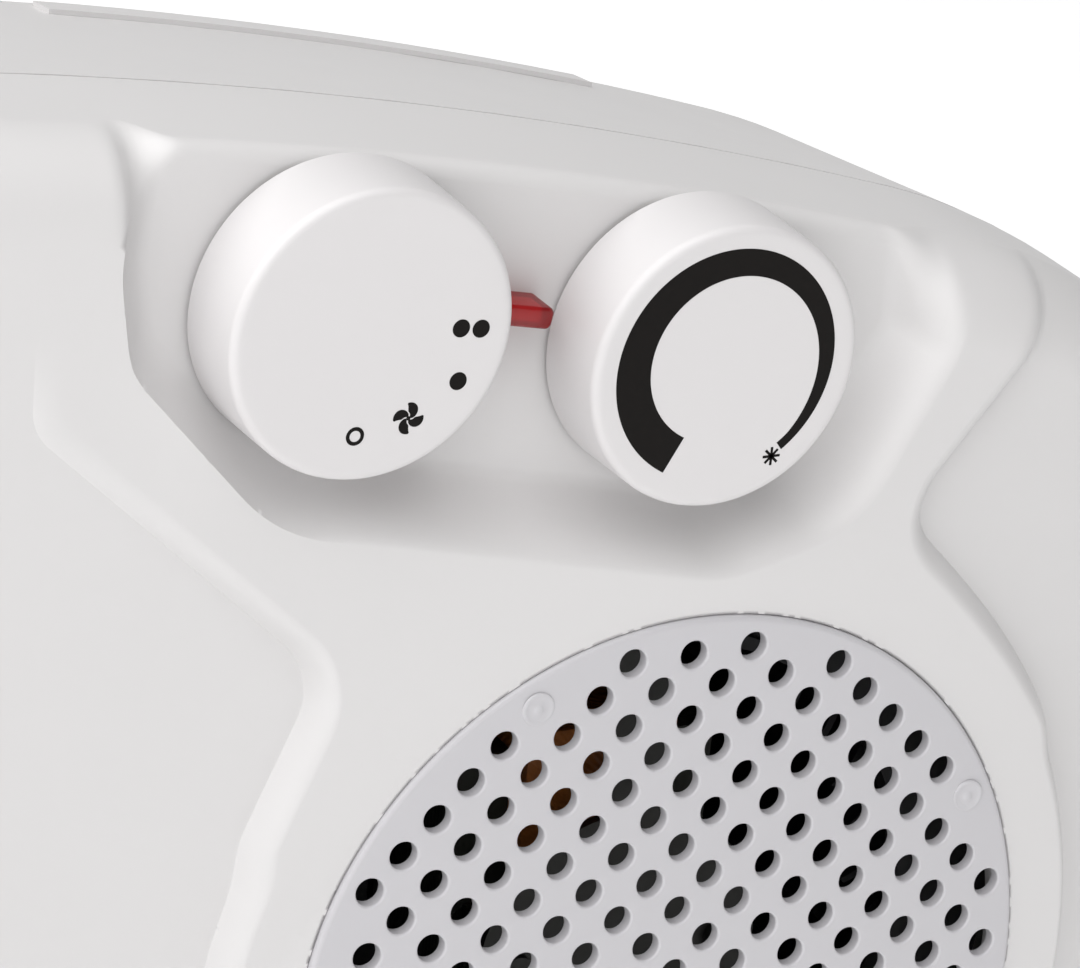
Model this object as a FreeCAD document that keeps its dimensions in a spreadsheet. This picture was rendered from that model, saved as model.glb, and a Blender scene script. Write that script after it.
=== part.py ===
"""Ceramic (PTC) fan heater for a wall: a parametric FreeCAD model, in millimetres, +Z up.

The wall is the plane Y = 0, the heater's front faces -Y, and the origin lies on the wall
face behind the middle of the case. Air enters through a round intake grille on the right,
a drum wheel throws it to the left, and it leaves downward through a ceramic element.
"""
import FreeCAD
import Part
import math
import os
import re
import Sketcher

V = FreeCAD.Vector
ALONG_X = FreeCAD.Rotation(V(0, 1, 0), 90)
ALONG_Y = FreeCAD.Rotation(V(1, 0, 0), 90)   # a primitive's own Z then points to the front
UPRIGHT = FreeCAD.Rotation()

doc = FreeCAD.newDocument("ceramic_heater")
sheet = doc.addObject("Spreadsheet::Sheet", "Sizes")

DRIVING = {
    # Case
    "case_width": 450, "case_height": 248.7, "case_bottom": -127, "seam_depth": 75,
    "shell_wall": 2.5, "wall_gap": 2, "apex_shift": 118.2, "left_shoulder": 95,
    "left_corner": 40, "crest_radius": 100, "right_shoulder": 150, "arch_slope": 16.8,
    "shoulder_slope": 24.4, "rear_sink": 9.5, "rear_fillet": 22, "rim_fillet": 11,
    "lip_height": 3, "lip_thickness": 1.6, "lip_gap": 0.2, "lip_root": 3,
    "trim_left": 7, "trim_right": 99, "trim_front": 28, "trim_width": 6, "trim_height": 0.8,
    # Crowned, leaning front face, with a raised panel round the controls and the grille
    "face_depth": 118.7, "face_lean": 4.57, "crown_radius": 813,
    "base_depth": 111.2, "base_lean": 1.5, "left_crown": 12000, "right_crown": 600,
    "panel_radius": 74, "panel_margin": 3, "pocket_floor": 101.6,
    # Intake grille
    "grille_diameter": 120, "grille_gap": 0.6, "grille_sheet": 2, "grille_proud": 0.8,
    "hole_pitch": 10, "hole_diameter": 4.3, "hole_field": 56.2, "ledge_width": 1.8,
    "rib_width": 1.5, "rib_height": 2.5, "pin_diameter": 5, "pin_shank": 3,
    # Knobs, their shafts and the plate that carries the switches
    "knob_diameter": 43.2, "knob_height": 14, "knob_gap": 0.7, "knob_fillet": 1.4,
    "knob_skin": 2, "mode_drop": 21.3, "mode_x": 18.1,
    "thermostat_drop": 21, "thermostat_x": 74.4,
    "hub_diameter": 11, "shaft_diameter": 6, "shaft_flat": 2.2, "shaft_grip": 13.2,
    "running_gap": 0.04, "neck_diameter": 9, "plate_sheet": 1.5, "plate_standoff": 6,
    "plate_height": 25, "plate_overhang": 27, "switch_width": 30, "switch_depth": 18,
    "nut_width": 12, "nut_height": 2,
    # Indicator lens
    "lens_width": 9, "lens_height": 3.3, "lens_proud": 6, "lens_flange": 1,
    # Blower
    "fan_x": 75, "fan_z": -22, "wheel_diameter": 110, "wheel_length": 56, "blade_count": 32,
    "blade_chord": 11, "blade_sheet": 1.2, "wheel_sheet": 2, "wheel_gap": 2,
    "scroll_gap": 11, "scroll_front": 98.8, "scroll_wall": 2, "scroll_rear": 34,
    "scroll_left": -184, "inlet_diameter": 100, "pillar_diameter": 10, "pillar_grip": 16,
    # Motor
    "stack_width": 44, "stack_low": 16, "stack_high": 28, "stack_depth": 16,
    "stack_front": 87, "rotor_diameter": 22.4, "air_gap": 0.3, "motor_shaft": 4,
    "coil_width": 25, "coil_build": 5, "bearing_diameter": 10, "bearing_length": 6,
    "bolt_reach": 17.5, "star_sheet": 1.5, "mount_height": 2, "mount_circle": 57,
    # Ceramic element and outlet
    "element_left": -178, "element_length": 160, "element_front": 69, "element_depth": 33,
    "element_height": 26, "frame_wall": 3, "ceramic_sheet": 2.4, "electrode_sheet": 0.6,
    "fin_gauge": 1.2, "fin_pitch": 4, "fin_height": 20, "outlet_height": 8,
    "outlet_flange": 2.6, "slat_sheet": 1.6, "slat_tilt": 25,
    # Fasteners and fits
    "screw_diameter": 4, "small_screw": 3, "screw_gap": 0.05, "fit_gap": 0.3,
    # Wall bracket, bumpers and cable inlet
    "bracket_width": 160, "bracket_height": 100, "bracket_low": -30, "bracket_hole": 5,
    "bracket_hole_x": 65, "bracket_hole_z": 60, "hook_drop": 12, "hook_x": 50, "hook_width": 16,
    "hook_reach": 10, "bumper_diameter": 16, "bumper_x": 165, "bumper_z": -85,
    "gland_x": 110, "gland_y": -48, "gland_diameter": 16, "cable_bore": 8,
    "lead_diameter": 2.4,
}
for row, (alias, number) in enumerate(DRIVING.items(), start=1):
    sheet.set(f"A{row}", alias)
    sheet.set(f"B{row}", str(number))
    sheet.setAlias(f"B{row}", alias)
doc.recompute()
S = {alias: float(sheet.get(alias)) for alias in DRIVING}


# ---------------------------------------------------------------- helpers

def bind(thing, **sizes):
    """Bind properties to sums of sheet aliases, such as Length="knob_height + knob_gap"."""
    for prop, text in sizes.items():
        path = prop.replace("__", ".")
        thing.setExpression(path, re.sub(r"\b([a-z]+(?:_[a-z]+)+)\b", r"Sizes.\1", text))


def place(thing, x, y, z, rotation=UPRIGHT):
    """Turn a piece and bind the place of its own origin to the sheet."""
    thing.Placement = FreeCAD.Placement(V(), rotation)
    bind(thing, Placement__Base__x=x, Placement__Base__y=y, Placement__Base__z=z)
    return thing


def box(name, length, width, height, x, y, z, rotation=UPRIGHT):
    """A box from its low corner: length on X, width on Y, height on Z."""
    made = doc.addObject("Part::Box", name)
    bind(made, Length=length, Width=width, Height=height)
    return place(made, x, y, z, rotation)


def rod(name, radius, length, x, y, z, rotation=ALONG_Y):
    """A cylinder that starts at x, y, z and runs to the front, unless it is turned."""
    made = doc.addObject("Part::Cylinder", name)
    bind(made, Radius=radius, Height=length)
    return place(made, x, y, z, rotation)


def fuse(name, pieces):
    made = doc.addObject("Part::MultiFuse", name)
    made.Shapes = pieces
    return made


def cut(name, base, tools):
    made = doc.addObject("Part::Cut", name)
    made.Base = base
    made.Tool = tools[0] if len(tools) == 1 else fuse(name + "_tools", tools)
    return made


def group(name, pieces):
    """Identical loose pieces that share one node."""
    made = doc.addObject("Part::Compound", name)
    made.Links = pieces
    return made


def formed(name, shape):
    """A sub-part whose shape comes from Part's own functions."""
    made = doc.addObject("Part::Feature", name)
    made.Shape = shape
    return made


NODES = []


def node(label, piece):
    """Name a finished sub-part; its label is also its file name."""
    piece.Label = label
    NODES.append(piece)
    return piece


def body(name, x, y, z):
    made = doc.addObject("PartDesign::Body", name)
    return place(made, x, y, z)


def sketch(owner, name, role="XZ_Plane"):
    """A sketch on one of its own body's origin planes; XZ sketches pad to the front."""
    plane = next(f for f in owner.Origin.OriginFeatures if f.Role == role)
    made = owner.newObject("Sketcher::SketchObject", name)
    made.AttachmentSupport = [(plane, "")]
    made.MapMode = "FlatFace"
    return made


def ring_sketch(owner, name, *radii):
    """Concentric circles about the body's axis, each radius bound to the sheet."""
    made = sketch(owner, name)
    for i, text in enumerate(radii):
        made.addGeometry(Part.Circle(V(), V(0, 0, 1), 10 + i), False)
        made.addConstraint(Sketcher.Constraint("Coincident", i, 3, -1, 1))
        made.addConstraint(Sketcher.Constraint("Radius", i, 10 + i))
        bind(made, **{f"Constraints[{2 * i + 1}]": text})
    return made


def pad(owner, name, profile, length, reverse=False):
    made = owner.newObject("PartDesign::Pad", name)
    made.Profile = profile
    made.Reversed = reverse
    bind(made, Length=length)
    return made


def yaw(angle):
    """A turn about the front-to-back axis, in degrees, seen from the front."""
    return FreeCAD.Rotation(V(0, -1, 0), angle)


def prism(wire, y_rear, y_front):
    """Extrude a wire that is drawn in the XZ plane between two depths."""
    face = Part.Face(wire)
    face.translate(V(0, y_rear, 0))
    return face.extrude(V(0, y_front - y_rear, 0))


def disc(radius, x, z, y_rear, y_front):
    return Part.makeCylinder(radius, y_rear - y_front, V(x, y_rear, z), V(0, -1, 0))


def rounded(points, radii):
    """A closed XZ outline with an arc of the given radius at each corner."""
    corners = [V(x, 0, z) for x, z in points]
    ends = []
    for i, corner in enumerate(corners):
        back = (corners[i - 1] - corner).normalize()
        ahead = (corners[(i + 1) % len(corners)] - corner).normalize()
        half = back.getAngle(ahead) / 2
        reach = radii[i] / math.tan(half)
        middle = corner + (back + ahead).normalize() * (radii[i] / math.sin(half) - radii[i])
        ends.append((corner + back * reach, middle, corner + ahead * reach))
    edges = []
    for i, (start, middle, stop) in enumerate(ends):
        edges.append(Part.Arc(start, middle, stop).toShape())
        edges.append(Part.makeLine(stop, ends[(i + 1) % len(ends)][0]))
    return Part.Wire(edges)


# ---------------------------------------------------------------- case outline

CASE_LEFT = -S["case_width"] / 2
CASE_TOP = S["case_bottom"] + S["case_height"]
SIN_ARCH = math.sin(math.radians(S["arch_slope"]))
COS_ARCH = math.cos(math.radians(S["arch_slope"]))
SIN_SHOULDER = math.sin(math.radians(S["shoulder_slope"]))
COS_SHOULDER = math.cos(math.radians(S["shoulder_slope"]))
ARCH_RADIUS = (S["case_width"] / 2 + S["apex_shift"]
               - S["crest_radius"] * (SIN_SHOULDER - SIN_ARCH)
               - S["right_shoulder"] * (1 - SIN_SHOULDER)) / SIN_ARCH


def arc(centre, radius, start, stop):
    """An arc in the XZ plane between two angles in degrees, measured from +X."""
    def at(angle):
        turn = math.radians(angle)
        return V(centre[0] + radius * math.cos(turn), 0, centre[1] + radius * math.sin(turn))
    return Part.Arc(at(start), at((start + stop) / 2), at(stop)).toShape()


def outline(inset=0, sink=0):
    """The case's outline from the front, moved inward, with its top lowered by the sink."""
    top = CASE_TOP - sink
    apex = -S["apex_shift"]
    arch = (apex, top - ARCH_RADIUS)
    step = ARCH_RADIUS - S["crest_radius"]
    crest = (arch[0] + step * SIN_ARCH, arch[1] + step * COS_ARCH)
    step = S["crest_radius"] - S["right_shoulder"]
    shoulder = (crest[0] + step * SIN_SHOULDER, crest[1] + step * COS_SHOULDER)
    low_right = shoulder[1] - S["case_bottom"]
    right = (-CASE_LEFT - low_right, shoulder[1])
    left_top = (CASE_LEFT + S["left_shoulder"], top - S["left_shoulder"])
    left_low = (CASE_LEFT + S["left_corner"], S["case_bottom"] + S["left_corner"])
    edges = [
        arc(arch, ARCH_RADIUS - inset, 90, 90 - S["arch_slope"]),
        arc(crest, S["crest_radius"] - inset, 90 - S["arch_slope"], 90 - S["shoulder_slope"]),
        arc(shoulder, S["right_shoulder"] - inset, 90 - S["shoulder_slope"], 0),
        arc(right, low_right - inset, 0, -90),
        arc(left_low, S["left_corner"] - inset, 270, 180),
        arc(left_top, S["left_shoulder"] - inset, 180, 90),
    ]
    ends = [(e.Vertexes[0].Point, e.Vertexes[-1].Point) for e in edges]
    for i, j in ((3, 4), (4, 5), (5, 0)):
        if ends[i][1].distanceToPoint(ends[j][0]) > 1e-6:
            edges.append(Part.makeLine(ends[i][1], ends[j][0]))
    return Part.Wire(Part.__sortEdges__(edges))


def arch_height(x):
    """Height of the case's top edge over the knobs, where the long arch runs."""
    run = x + S["apex_shift"]
    return CASE_TOP - ARCH_RADIUS + math.sqrt(ARCH_RADIUS ** 2 - run ** 2)


def crowned_block(front, lean, left_radius, right_radius):
    """Everything behind a face that leans back and is crowned about the fan's axis."""
    reach = S["case_width"]

    def arc_end(radius, side):
        centre = V(S["fan_x"], front + radius, 0)
        turn = side * reach / radius

        def at(angle):
            return centre + V(radius * math.sin(angle), -radius * math.cos(angle), 0)
        return Part.Arc(at(0), at(turn / 2), at(turn)).toShape(), at(turn)

    left, left_end = arc_end(left_radius, -1)
    right, right_end = arc_end(right_radius, 1)
    rear = S["case_width"]
    edges = [
        left, right,
        Part.makeLine(right_end, V(right_end.x, rear, 0)),
        Part.makeLine(V(right_end.x, rear, 0), V(left_end.x, rear, 0)),
        Part.makeLine(V(left_end.x, rear, 0), left_end),
    ]
    face = Part.Face(Part.Wire(Part.__sortEdges__(edges)))
    face.translate(V(0, 0, S["fan_z"] - reach))
    block = face.extrude(V(0, 0, 2 * reach))
    block.rotate(V(0, front, S["fan_z"]), V(-1, 0, 0), lean)
    return block


def face_block(drop):
    """The raised panel and the grille follow this face, moved back by the drop."""
    return crowned_block(drop - S["face_depth"], S["face_lean"], S["crown_radius"],
                         S["crown_radius"])


def base_block(drop):
    """The case's own flatter face, behind the raised panel."""
    return crowned_block(drop - S["base_depth"], S["base_lean"], S["left_crown"],
                         S["right_crown"])


FRONT_LIMIT = -S["face_depth"] - 30
SEAM = -S["seam_depth"]
WAIST_LEFT = (17, 36)
WAIST_RIGHT = (112, 48)
PANEL_TOP = [(-28, 180), (-28, 77), WAIST_LEFT, (8, 8), (142, 8), WAIST_RIGHT, (137, 75),
             (137, 180)]
PANEL_ROUND = [5, 8, 12, 3, 3, 10, 24, 5]
POCKET = [(-9, 180), (-16, 98), (-14, 84), (8, 59), (80, 43), (102, 48), (119, 74), (113, 180)]
POCKET_ROUND = [5, 20, 12, 24, 22, 20, 12, 5]
ARCH_AT_KNOBS = 110.6
KNOB_RISE = arch_height(S["mode_x"]) - ARCH_AT_KNOBS


def raised(points):
    """Control-panel outlines follow the top edge when the case grows."""
    return [(x, z + KNOB_RISE) for x, z in points]


def cover_block(inset):
    """The front cover's outer form, or its inner one when it is moved inward."""
    low = prism(outline(inset), SEAM, FRONT_LIMIT)
    base = low.common(base_block(inset))
    rim = [e for e in base.Edges if e.BoundBox.YMax < SEAM - 1 and e.BoundBox.YLength < 60]
    rim = [e for e in rim if not is_straight_along_y(e)]
    base = base.makeFillet(S["rim_fillet"] - inset * 0.6, rim)
    panel = prism(rounded(raised(PANEL_TOP), PANEL_ROUND), SEAM, FRONT_LIMIT)
    panel = panel.fuse(disc(S["panel_radius"] - inset, S["fan_x"], S["fan_z"],
                            SEAM, FRONT_LIMIT))
    inner = prism(outline(S["rim_fillet"] + S["panel_margin"] + inset), SEAM, FRONT_LIMIT)
    panel = panel.common(inner).common(face_block(inset))
    return base.fuse(panel)


def is_straight_along_y(edge):
    size = edge.BoundBox
    return size.XLength < 0.01 and size.ZLength < 0.01


# ---------------------------------------------------------------- case shells

BOSSES = [(CASE_LEFT + 20, S["case_bottom"] + 27), (CASE_LEFT + 20, CASE_TOP - 90),
          (-S["apex_shift"] + 66, CASE_TOP - 30), (-CASE_LEFT - 20, S["case_bottom"] + 93),
          (-CASE_LEFT - 75, S["case_bottom"] + 21)]
SCROLL_RADIUS = S["wheel_diameter"] / 2 + S["scroll_gap"]
EAR_REACH = SCROLL_RADIUS + S["scroll_wall"] + 4
PILLARS = [(S["scroll_left"] + 34, S["fan_z"] + EAR_REACH),
           (S["scroll_left"] + 139, S["fan_z"] + EAR_REACH),
           (S["fan_x"] + EAR_REACH, S["fan_z"]), (S["fan_x"], S["fan_z"] - EAR_REACH - 0.5)]
HALF_PITCH = S["hole_pitch"] / 2
PINS = [(i * HALF_PITCH, j * HALF_PITCH) for i, j in ((-5, 10), (10, 5), (5, -10), (-10, -5))]
PIN_LUG = 4
TERMINALS = (S["case_width"] / 2 - 60, -40)
GRILLE = S["grille_diameter"] / 2
PLATE_REAR = S["grille_sheet"] - S["grille_proud"]
POCKET_BACK = S["pocket_floor"] - S["shell_wall"]
THREAD = S["screw_diameter"] / 2 + S["screw_gap"]
SMALL_THREAD = S["small_screw"] / 2 + S["screw_gap"]
MODE = (S["mode_x"], arch_height(S["mode_x"]) - S["mode_drop"])
THERMOSTAT = (S["thermostat_x"], arch_height(S["thermostat_x"]) - S["thermostat_drop"])
LAMP = ((MODE[0] + THERMOSTAT[0]) / 2, (MODE[1] + THERMOSTAT[1]) / 2)
SPACING = math.hypot(THERMOSTAT[0] - MODE[0], THERMOSTAT[1] - MODE[1])
KNOB_SLOPE = math.degrees(math.atan2(THERMOSTAT[1] - MODE[1], THERMOSTAT[0] - MODE[0]))


def on_knob_line(reach, drop=0):
    """A place measured along the line through both knobs, from the mode knob."""
    turn = math.radians(KNOB_SLOPE)
    return (MODE[0] + reach * math.cos(turn) + drop * math.sin(turn),
            MODE[1] + reach * math.sin(turn) - drop * math.cos(turn))


PLATE_SCREWS = [on_knob_line(-S["plate_overhang"] + 4),
                on_knob_line(SPACING + S["plate_overhang"] - 4)]


def tilted_box(length, height, x, z, y_rear, y_front, turn=0.0):
    """A box centred on x, z between two depths, turned about the front-to-back axis."""
    made = Part.makeBox(length, y_rear - y_front, height, V(-length / 2, y_front, -height / 2))
    made.rotate(V(), V(0, -1, 0), turn)
    made.translate(V(x, 0, z))
    return made


def build_front_cover():
    wall = S["shell_wall"]
    outer = cover_block(0)
    inner = cover_block(wall)
    pocket = rounded(raised(POCKET), POCKET_ROUND)
    hollow = prism(pocket, -S["pocket_floor"], FRONT_LIMIT)
    grown = prism(pocket.makeOffset2D(wall), -POCKET_BACK, FRONT_LIMIT)
    cover = outer.cut(hollow).cut(inner.cut(grown))
    fan = (S["fan_x"], S["fan_z"])
    lugs = [disc(PIN_LUG, fan[0] + x, fan[1] + z, SEAM, FRONT_LIMIT) for x, z in PINS]
    ledge = disc(GRILLE + 3, *fan, SEAM, FRONT_LIMIT)
    ledge = ledge.common(face_block(PLATE_REAR)).cut(face_block(PLATE_REAR + 2))
    lugs = lugs[0].multiFuse(lugs[1:]).common(face_block(PLATE_REAR))
    lugs = lugs.cut(face_block(PLATE_REAR + 4))
    posts = [disc(4.5, x, z, SEAM, FRONT_LIMIT) for x, z in BOSSES]
    posts = posts[0].multiFuse(posts[1:]).common(cover_block(wall / 2))
    feet = [disc(4, x, z, -POCKET_BACK + S["plate_standoff"], -POCKET_BACK - 1)
            for x, z in PLATE_SCREWS]
    cover = cover.cut(disc(GRILLE - S["ledge_width"], *fan, SEAM, FRONT_LIMIT))
    cover = cover.fuse([posts, *feet])
    seat = disc(GRILLE + S["grille_gap"], *fan, SEAM, FRONT_LIMIT)
    cover = cover.cut(seat.cut(face_block(PLATE_REAR)))
    window = disc(GRILLE - S["ledge_width"], *fan, SEAM, FRONT_LIMIT)
    cover = cover.fuse([ledge.cut(window), lugs])
    holes = [disc(THREAD, x, z, SEAM, SEAM - 12) for x, z in BOSSES]
    holes += [disc(SMALL_THREAD, x, z, -POCKET_BACK + S["plate_standoff"], -POCKET_BACK)
              for x, z in PLATE_SCREWS]
    holes += [disc(S["pin_shank"] / 2 + S["screw_gap"], fan[0] + x, fan[1] + z,
                   SEAM, FRONT_LIMIT) for x, z in PINS]
    neck = S["neck_diameter"] / 2 + S["fit_gap"]
    holes += [disc(neck, *place, -POCKET_BACK + 5, -S["pocket_floor"] - 1)
              for place in (MODE, THERMOSTAT)]
    holes.append(tilted_box(S["lens_width"] + 0.2, S["lens_height"] + 0.2, *LAMP,
                            -POCKET_BACK + 5, -S["pocket_floor"] - 1, KNOB_SLOPE))
    return cover.cut(holes)


def rear_block(inset=0.0, rear=-S["wall_gap"]):
    """The rear shell's form: flat below, its top falling toward the wall."""
    front = outline(inset)
    front.translate(V(0, SEAM, 0))
    back = outline(inset, S["rear_sink"])
    back.translate(V(0, rear, 0))
    form = Part.makeLoft([front, back], True, True)
    rim = [e for e in form.Edges if e.BoundBox.YMin > rear - 0.01]
    return form.makeFillet(S["rear_fillet"] - max(inset, 0), rim)


def build_rear_shell():
    wall = S["shell_wall"]
    back_inside = -S["wall_gap"] - wall
    shell = rear_block().cut(rear_block(wall, back_inside))
    gap = S["lip_gap"]
    thick = S["lip_thickness"]
    root = prism(outline(wall - 0.3), SEAM + S["lip_root"], SEAM)
    root = root.cut(prism(outline(wall + gap + thick), SEAM + S["lip_root"], SEAM))
    lip = prism(outline(wall + gap), SEAM + 1, SEAM - S["lip_height"])
    lip = lip.cut(prism(outline(wall + gap + thick), SEAM + 1, SEAM - S["lip_height"]))
    root = root.common(rear_block())
    posts = [disc(5, x, z, -S["wall_gap"], SEAM).common(rear_block()) for x, z in BOSSES]
    posts += [disc(S["pillar_diameter"] / 2, x, z, back_inside + 0.5, -S["scroll_rear"])
              for x, z in PILLARS]
    block = TERMINALS
    posts += [disc(3, block[0] + side * 11, block[1], back_inside + 0.5, back_inside - 3)
              for side in (-1, 1)]
    shell = shell.fuse([root, lip, *posts])
    tools = []
    for x, z in BOSSES:
        tools.append(disc(S["screw_diameter"] / 2 + 0.3, x, z, 0, SEAM))
        tools.append(disc(4, x, z, 0, -S["seam_depth"] + 30))
    tools += [disc(THREAD, x, z, S["pillar_grip"] - S["scroll_rear"], -S["scroll_rear"] - 1)
              for x, z in PILLARS]
    tools += [disc(SMALL_THREAD, block[0] + side * 11, block[1], back_inside - 0.2,
                   back_inside - 4) for side in (-1, 1)]
    front = -S["element_front"]
    tools.append(Part.makeBox(S["element_length"], S["element_depth"], 10,
                              V(S["element_left"], front, S["case_bottom"] - 5)))
    hook_high = S["bracket_low"] + S["bracket_height"] - S["hook_drop"]
    for side in (-1, 1):
        tools.append(Part.makeBox(S["hook_width"] + 4, wall + 2, 12,
                                  V(side * S["hook_x"] - S["hook_width"] / 2 - 2,
                                    back_inside - 1, hook_high - 12)))
    tools.append(Part.makeCylinder(S["gland_diameter"] / 2, 10,
                                   V(S["gland_x"], S["gland_y"], S["case_bottom"] - 5)))
    return shell.cut(tools)


node("front_cover", formed("front_cover", build_front_cover()))
node("rear_shell", formed("rear_shell", build_rear_shell()))


def trim_shape():
    """A thin bar that lies along the falling top, near its rear edge."""
    ring = rear_block(-S["trim_height"]).cut(rear_block())
    length = S["trim_right"] - S["trim_left"]
    reach = S["case_height"] / 4
    return ring.common(Part.makeBox(length, S["trim_width"], reach,
                                    V(S["trim_left"], -S["trim_front"], CASE_TOP - reach)))


node("top_trim", formed("top_trim", trim_shape()))


# ---------------------------------------------------------------- intake grille

def build_grille():
    fan = (S["fan_x"], S["fan_z"])
    sheet_body = disc(GRILLE, *fan, SEAM, FRONT_LIMIT)
    sheet_body = sheet_body.common(face_block(-S["grille_proud"])).cut(face_block(PLATE_REAR))
    half = HALF_PITCH
    steps = int(S["hole_field"] / half)
    holes = []
    for i in range(-steps, steps + 1):
        for j in range(-steps, steps + 1):
            if (i + j) % 2 == 0 or math.hypot(i, j) * half > S["hole_field"]:
                continue
            if (i * half, j * half) not in PINS:
                holes.append(disc(S["hole_diameter"] / 2, fan[0] + i * half, fan[1] + j * half,
                                  -S["face_depth"] + 20, FRONT_LIMIT))
    for x, z in PINS:
        holes.append(disc(S["pin_shank"] / 2 + S["screw_gap"], fan[0] + x, fan[1] + z,
                          SEAM, FRONT_LIMIT))
    ribs = []
    inside = GRILLE - S["ledge_width"] - 0.5
    for k in (-10, -6, -2, 2, 6, 10):
        reach_off = k * half / math.sqrt(2)
        length = 2 * math.sqrt(inside ** 2 - (abs(reach_off) + S["rib_width"] / 2) ** 2)
        middle = (fan[0] + reach_off / math.sqrt(2), fan[1] - reach_off / math.sqrt(2))
        ribs.append(tilted_box(length, S["rib_width"], *middle, SEAM, FRONT_LIMIT, 45))
    ribs = ribs[0].multiFuse(ribs[1:]).common(face_block(PLATE_REAR - 0.3))
    ribs = ribs.cut(face_block(PLATE_REAR + S["rib_height"]))
    ribs = ribs.cut([disc(PIN_LUG + S["screw_gap"], fan[0] + x, fan[1] + z, SEAM, FRONT_LIMIT)
                     for x, z in PINS])
    return sheet_body.cut(Part.makeCompound(holes)).fuse(ribs)


def build_pins():
    """Push pins whose flat heads lie just inside the grille's face."""
    fan = (S["fan_x"], S["fan_z"])
    pins = []
    for x, z in PINS:
        at = (fan[0] + x, fan[1] + z)
        head = disc(S["pin_diameter"] / 2, *at, SEAM, FRONT_LIMIT)
        head = head.common(face_block(-S["grille_proud"] - 0.5))
        head = head.cut(face_block(-S["grille_proud"]))
        shank = disc(S["pin_shank"] / 2, *at, SEAM, FRONT_LIMIT)
        shank = shank.common(face_block(-S["grille_proud"] - 0.1)).cut(face_block(PLATE_REAR + 4))
        pins.append(head.fuse(shank).removeSplitter())
    return Part.makeCompound(pins)


node("intake_grille", formed("intake_grille", build_grille()))
node("grille_pins", formed("grille_pins", build_pins()))


# ---------------------------------------------------------------- fasteners

def screws(label, places, head_y, length, radius, head_radius, head_height, to_front=True):
    """Pan-head screws along the depth, each with its head's seat at head_y."""
    made = []
    to_wall = FreeCAD.Rotation(V(1, 0, 0), -90)
    turns = (ALONG_Y, to_wall) if to_front else (to_wall, ALONG_Y)
    for i, (x, z) in enumerate(places):
        name = f"{label}_{i}"
        shank = rod(name + "_shank", radius, length, f"{x:.6f}", head_y, f"{z:.6f}", turns[0])
        head = rod(name + "_head", head_radius, head_height, f"{x:.6f}", head_y, f"{z:.6f}",
                   turns[1])
        made.append(fuse(name, [head, shank]))
    return node(label, group(label, made))


SCREW = "screw_diameter / 2"
SMALL = "small_screw / 2"
screws("housing_screws", BOSSES, "-seam_depth + 30", "40", SCREW, "screw_diameter * 0.9",
       "2.4")
screws("scroll_screws", PILLARS, "-scroll_front", "scroll_front - scroll_rear + pillar_grip",
       SCREW, "screw_diameter * 0.9", "2.2", to_front=False)


# ---------------------------------------------------------------- controls

def d_bore(name, x, z, y_rear, depth):
    """A bore with a flat that matches the shaft's."""
    round_hole = rod(name + "_round", "shaft_diameter / 2 + running_gap", depth, x, y_rear, z)
    width = "shaft_diameter + 2"
    flat = box(name + "_flat", width, depth, "shaft_diameter / 2 + shaft_flat + running_gap",
               f"{x} - shaft_diameter / 2 - 1", f"{y_rear} - ({depth})",
               f"{z} - shaft_diameter / 2")
    made = doc.addObject("Part::Common", name)
    made.Base = round_hole
    made.Tool = flat
    return made


def knob(label, place_xz):
    """A moulded cap: a rounded skirt, open behind, round a hub that grips the shaft."""
    x, z = (f"{value:.6f}" for value in place_xz)
    shell = body(label + "_body", x, "-pocket_floor - knob_gap", z)
    pad(shell, label + "_pad", ring_sketch(shell, label + "_rim", "knob_diameter / 2"),
        "knob_height")
    doc.recompute()
    rounded_cap = doc.addObject("Part::Fillet", label + "_soft")
    rounded_cap.Base = shell
    front_y = shell.Shape.BoundBox.YMin
    rim = [i + 1 for i, e in enumerate(shell.Shape.Edges) if e.BoundBox.YMax < front_y + 0.1]
    rounded_cap.Edges = [(i, S["knob_fillet"], S["knob_fillet"]) for i in rim]
    rear = "-pocket_floor - knob_gap"
    hollow = rod(label + "_hollow", "knob_diameter / 2 - knob_skin",
                 "knob_height - knob_skin", x, rear, z)
    hub = rod(label + "_hub", "hub_diameter / 2", "knob_height - knob_skin / 2", x, rear, z)
    ribs = [box(f"{label}_rib_{i}", "knob_diameter / 2 - knob_skin / 2", "knob_height - 4",
                "knob_skin / 2", x, "-pocket_floor - knob_gap - knob_height + 1", z,
                yaw(120 * i)) for i in range(3)]
    skirt = cut(label + "_skirt", rounded_cap, [hollow])
    whole = fuse(label + "_whole", [skirt, hub, *ribs])
    bore = d_bore(label + "_bore", x, z, rear, "knob_height - knob_skin")
    return node(label, cut(label, whole, [bore]))


def shaft(label, place_xz, reach):
    x, z = (f"{value:.6f}" for value in place_xz)
    tip = "-pocket_floor - knob_gap - knob_height + knob_skin + 0.3"
    rear = f"-pocket_floor + shell_wall + plate_standoff + plate_sheet + {reach}"
    stem = rod(label + "_stem", "shaft_diameter / 2", f"({rear}) - ({tip})", x, rear, z)
    flat = box(label + "_flat", "shaft_diameter + 2", "shaft_grip", "shaft_diameter",
               f"{x} - shaft_diameter / 2 - 1", f"{tip} - 1", f"{z} + shaft_flat")
    return node(label, cut(label, stem, [flat]))


PLATE_FRONT = "-pocket_floor + shell_wall + plate_standoff"
PLATE_BACK = PLATE_FRONT + " + plate_sheet"


def neck(name, x, z):
    """The threaded neck of a switch, through the plate and the pocket's floor."""
    return rod(name, "neck_diameter / 2", "plate_sheet + plate_standoff + shell_wall - 0.3",
               x, PLATE_BACK, z)


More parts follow.
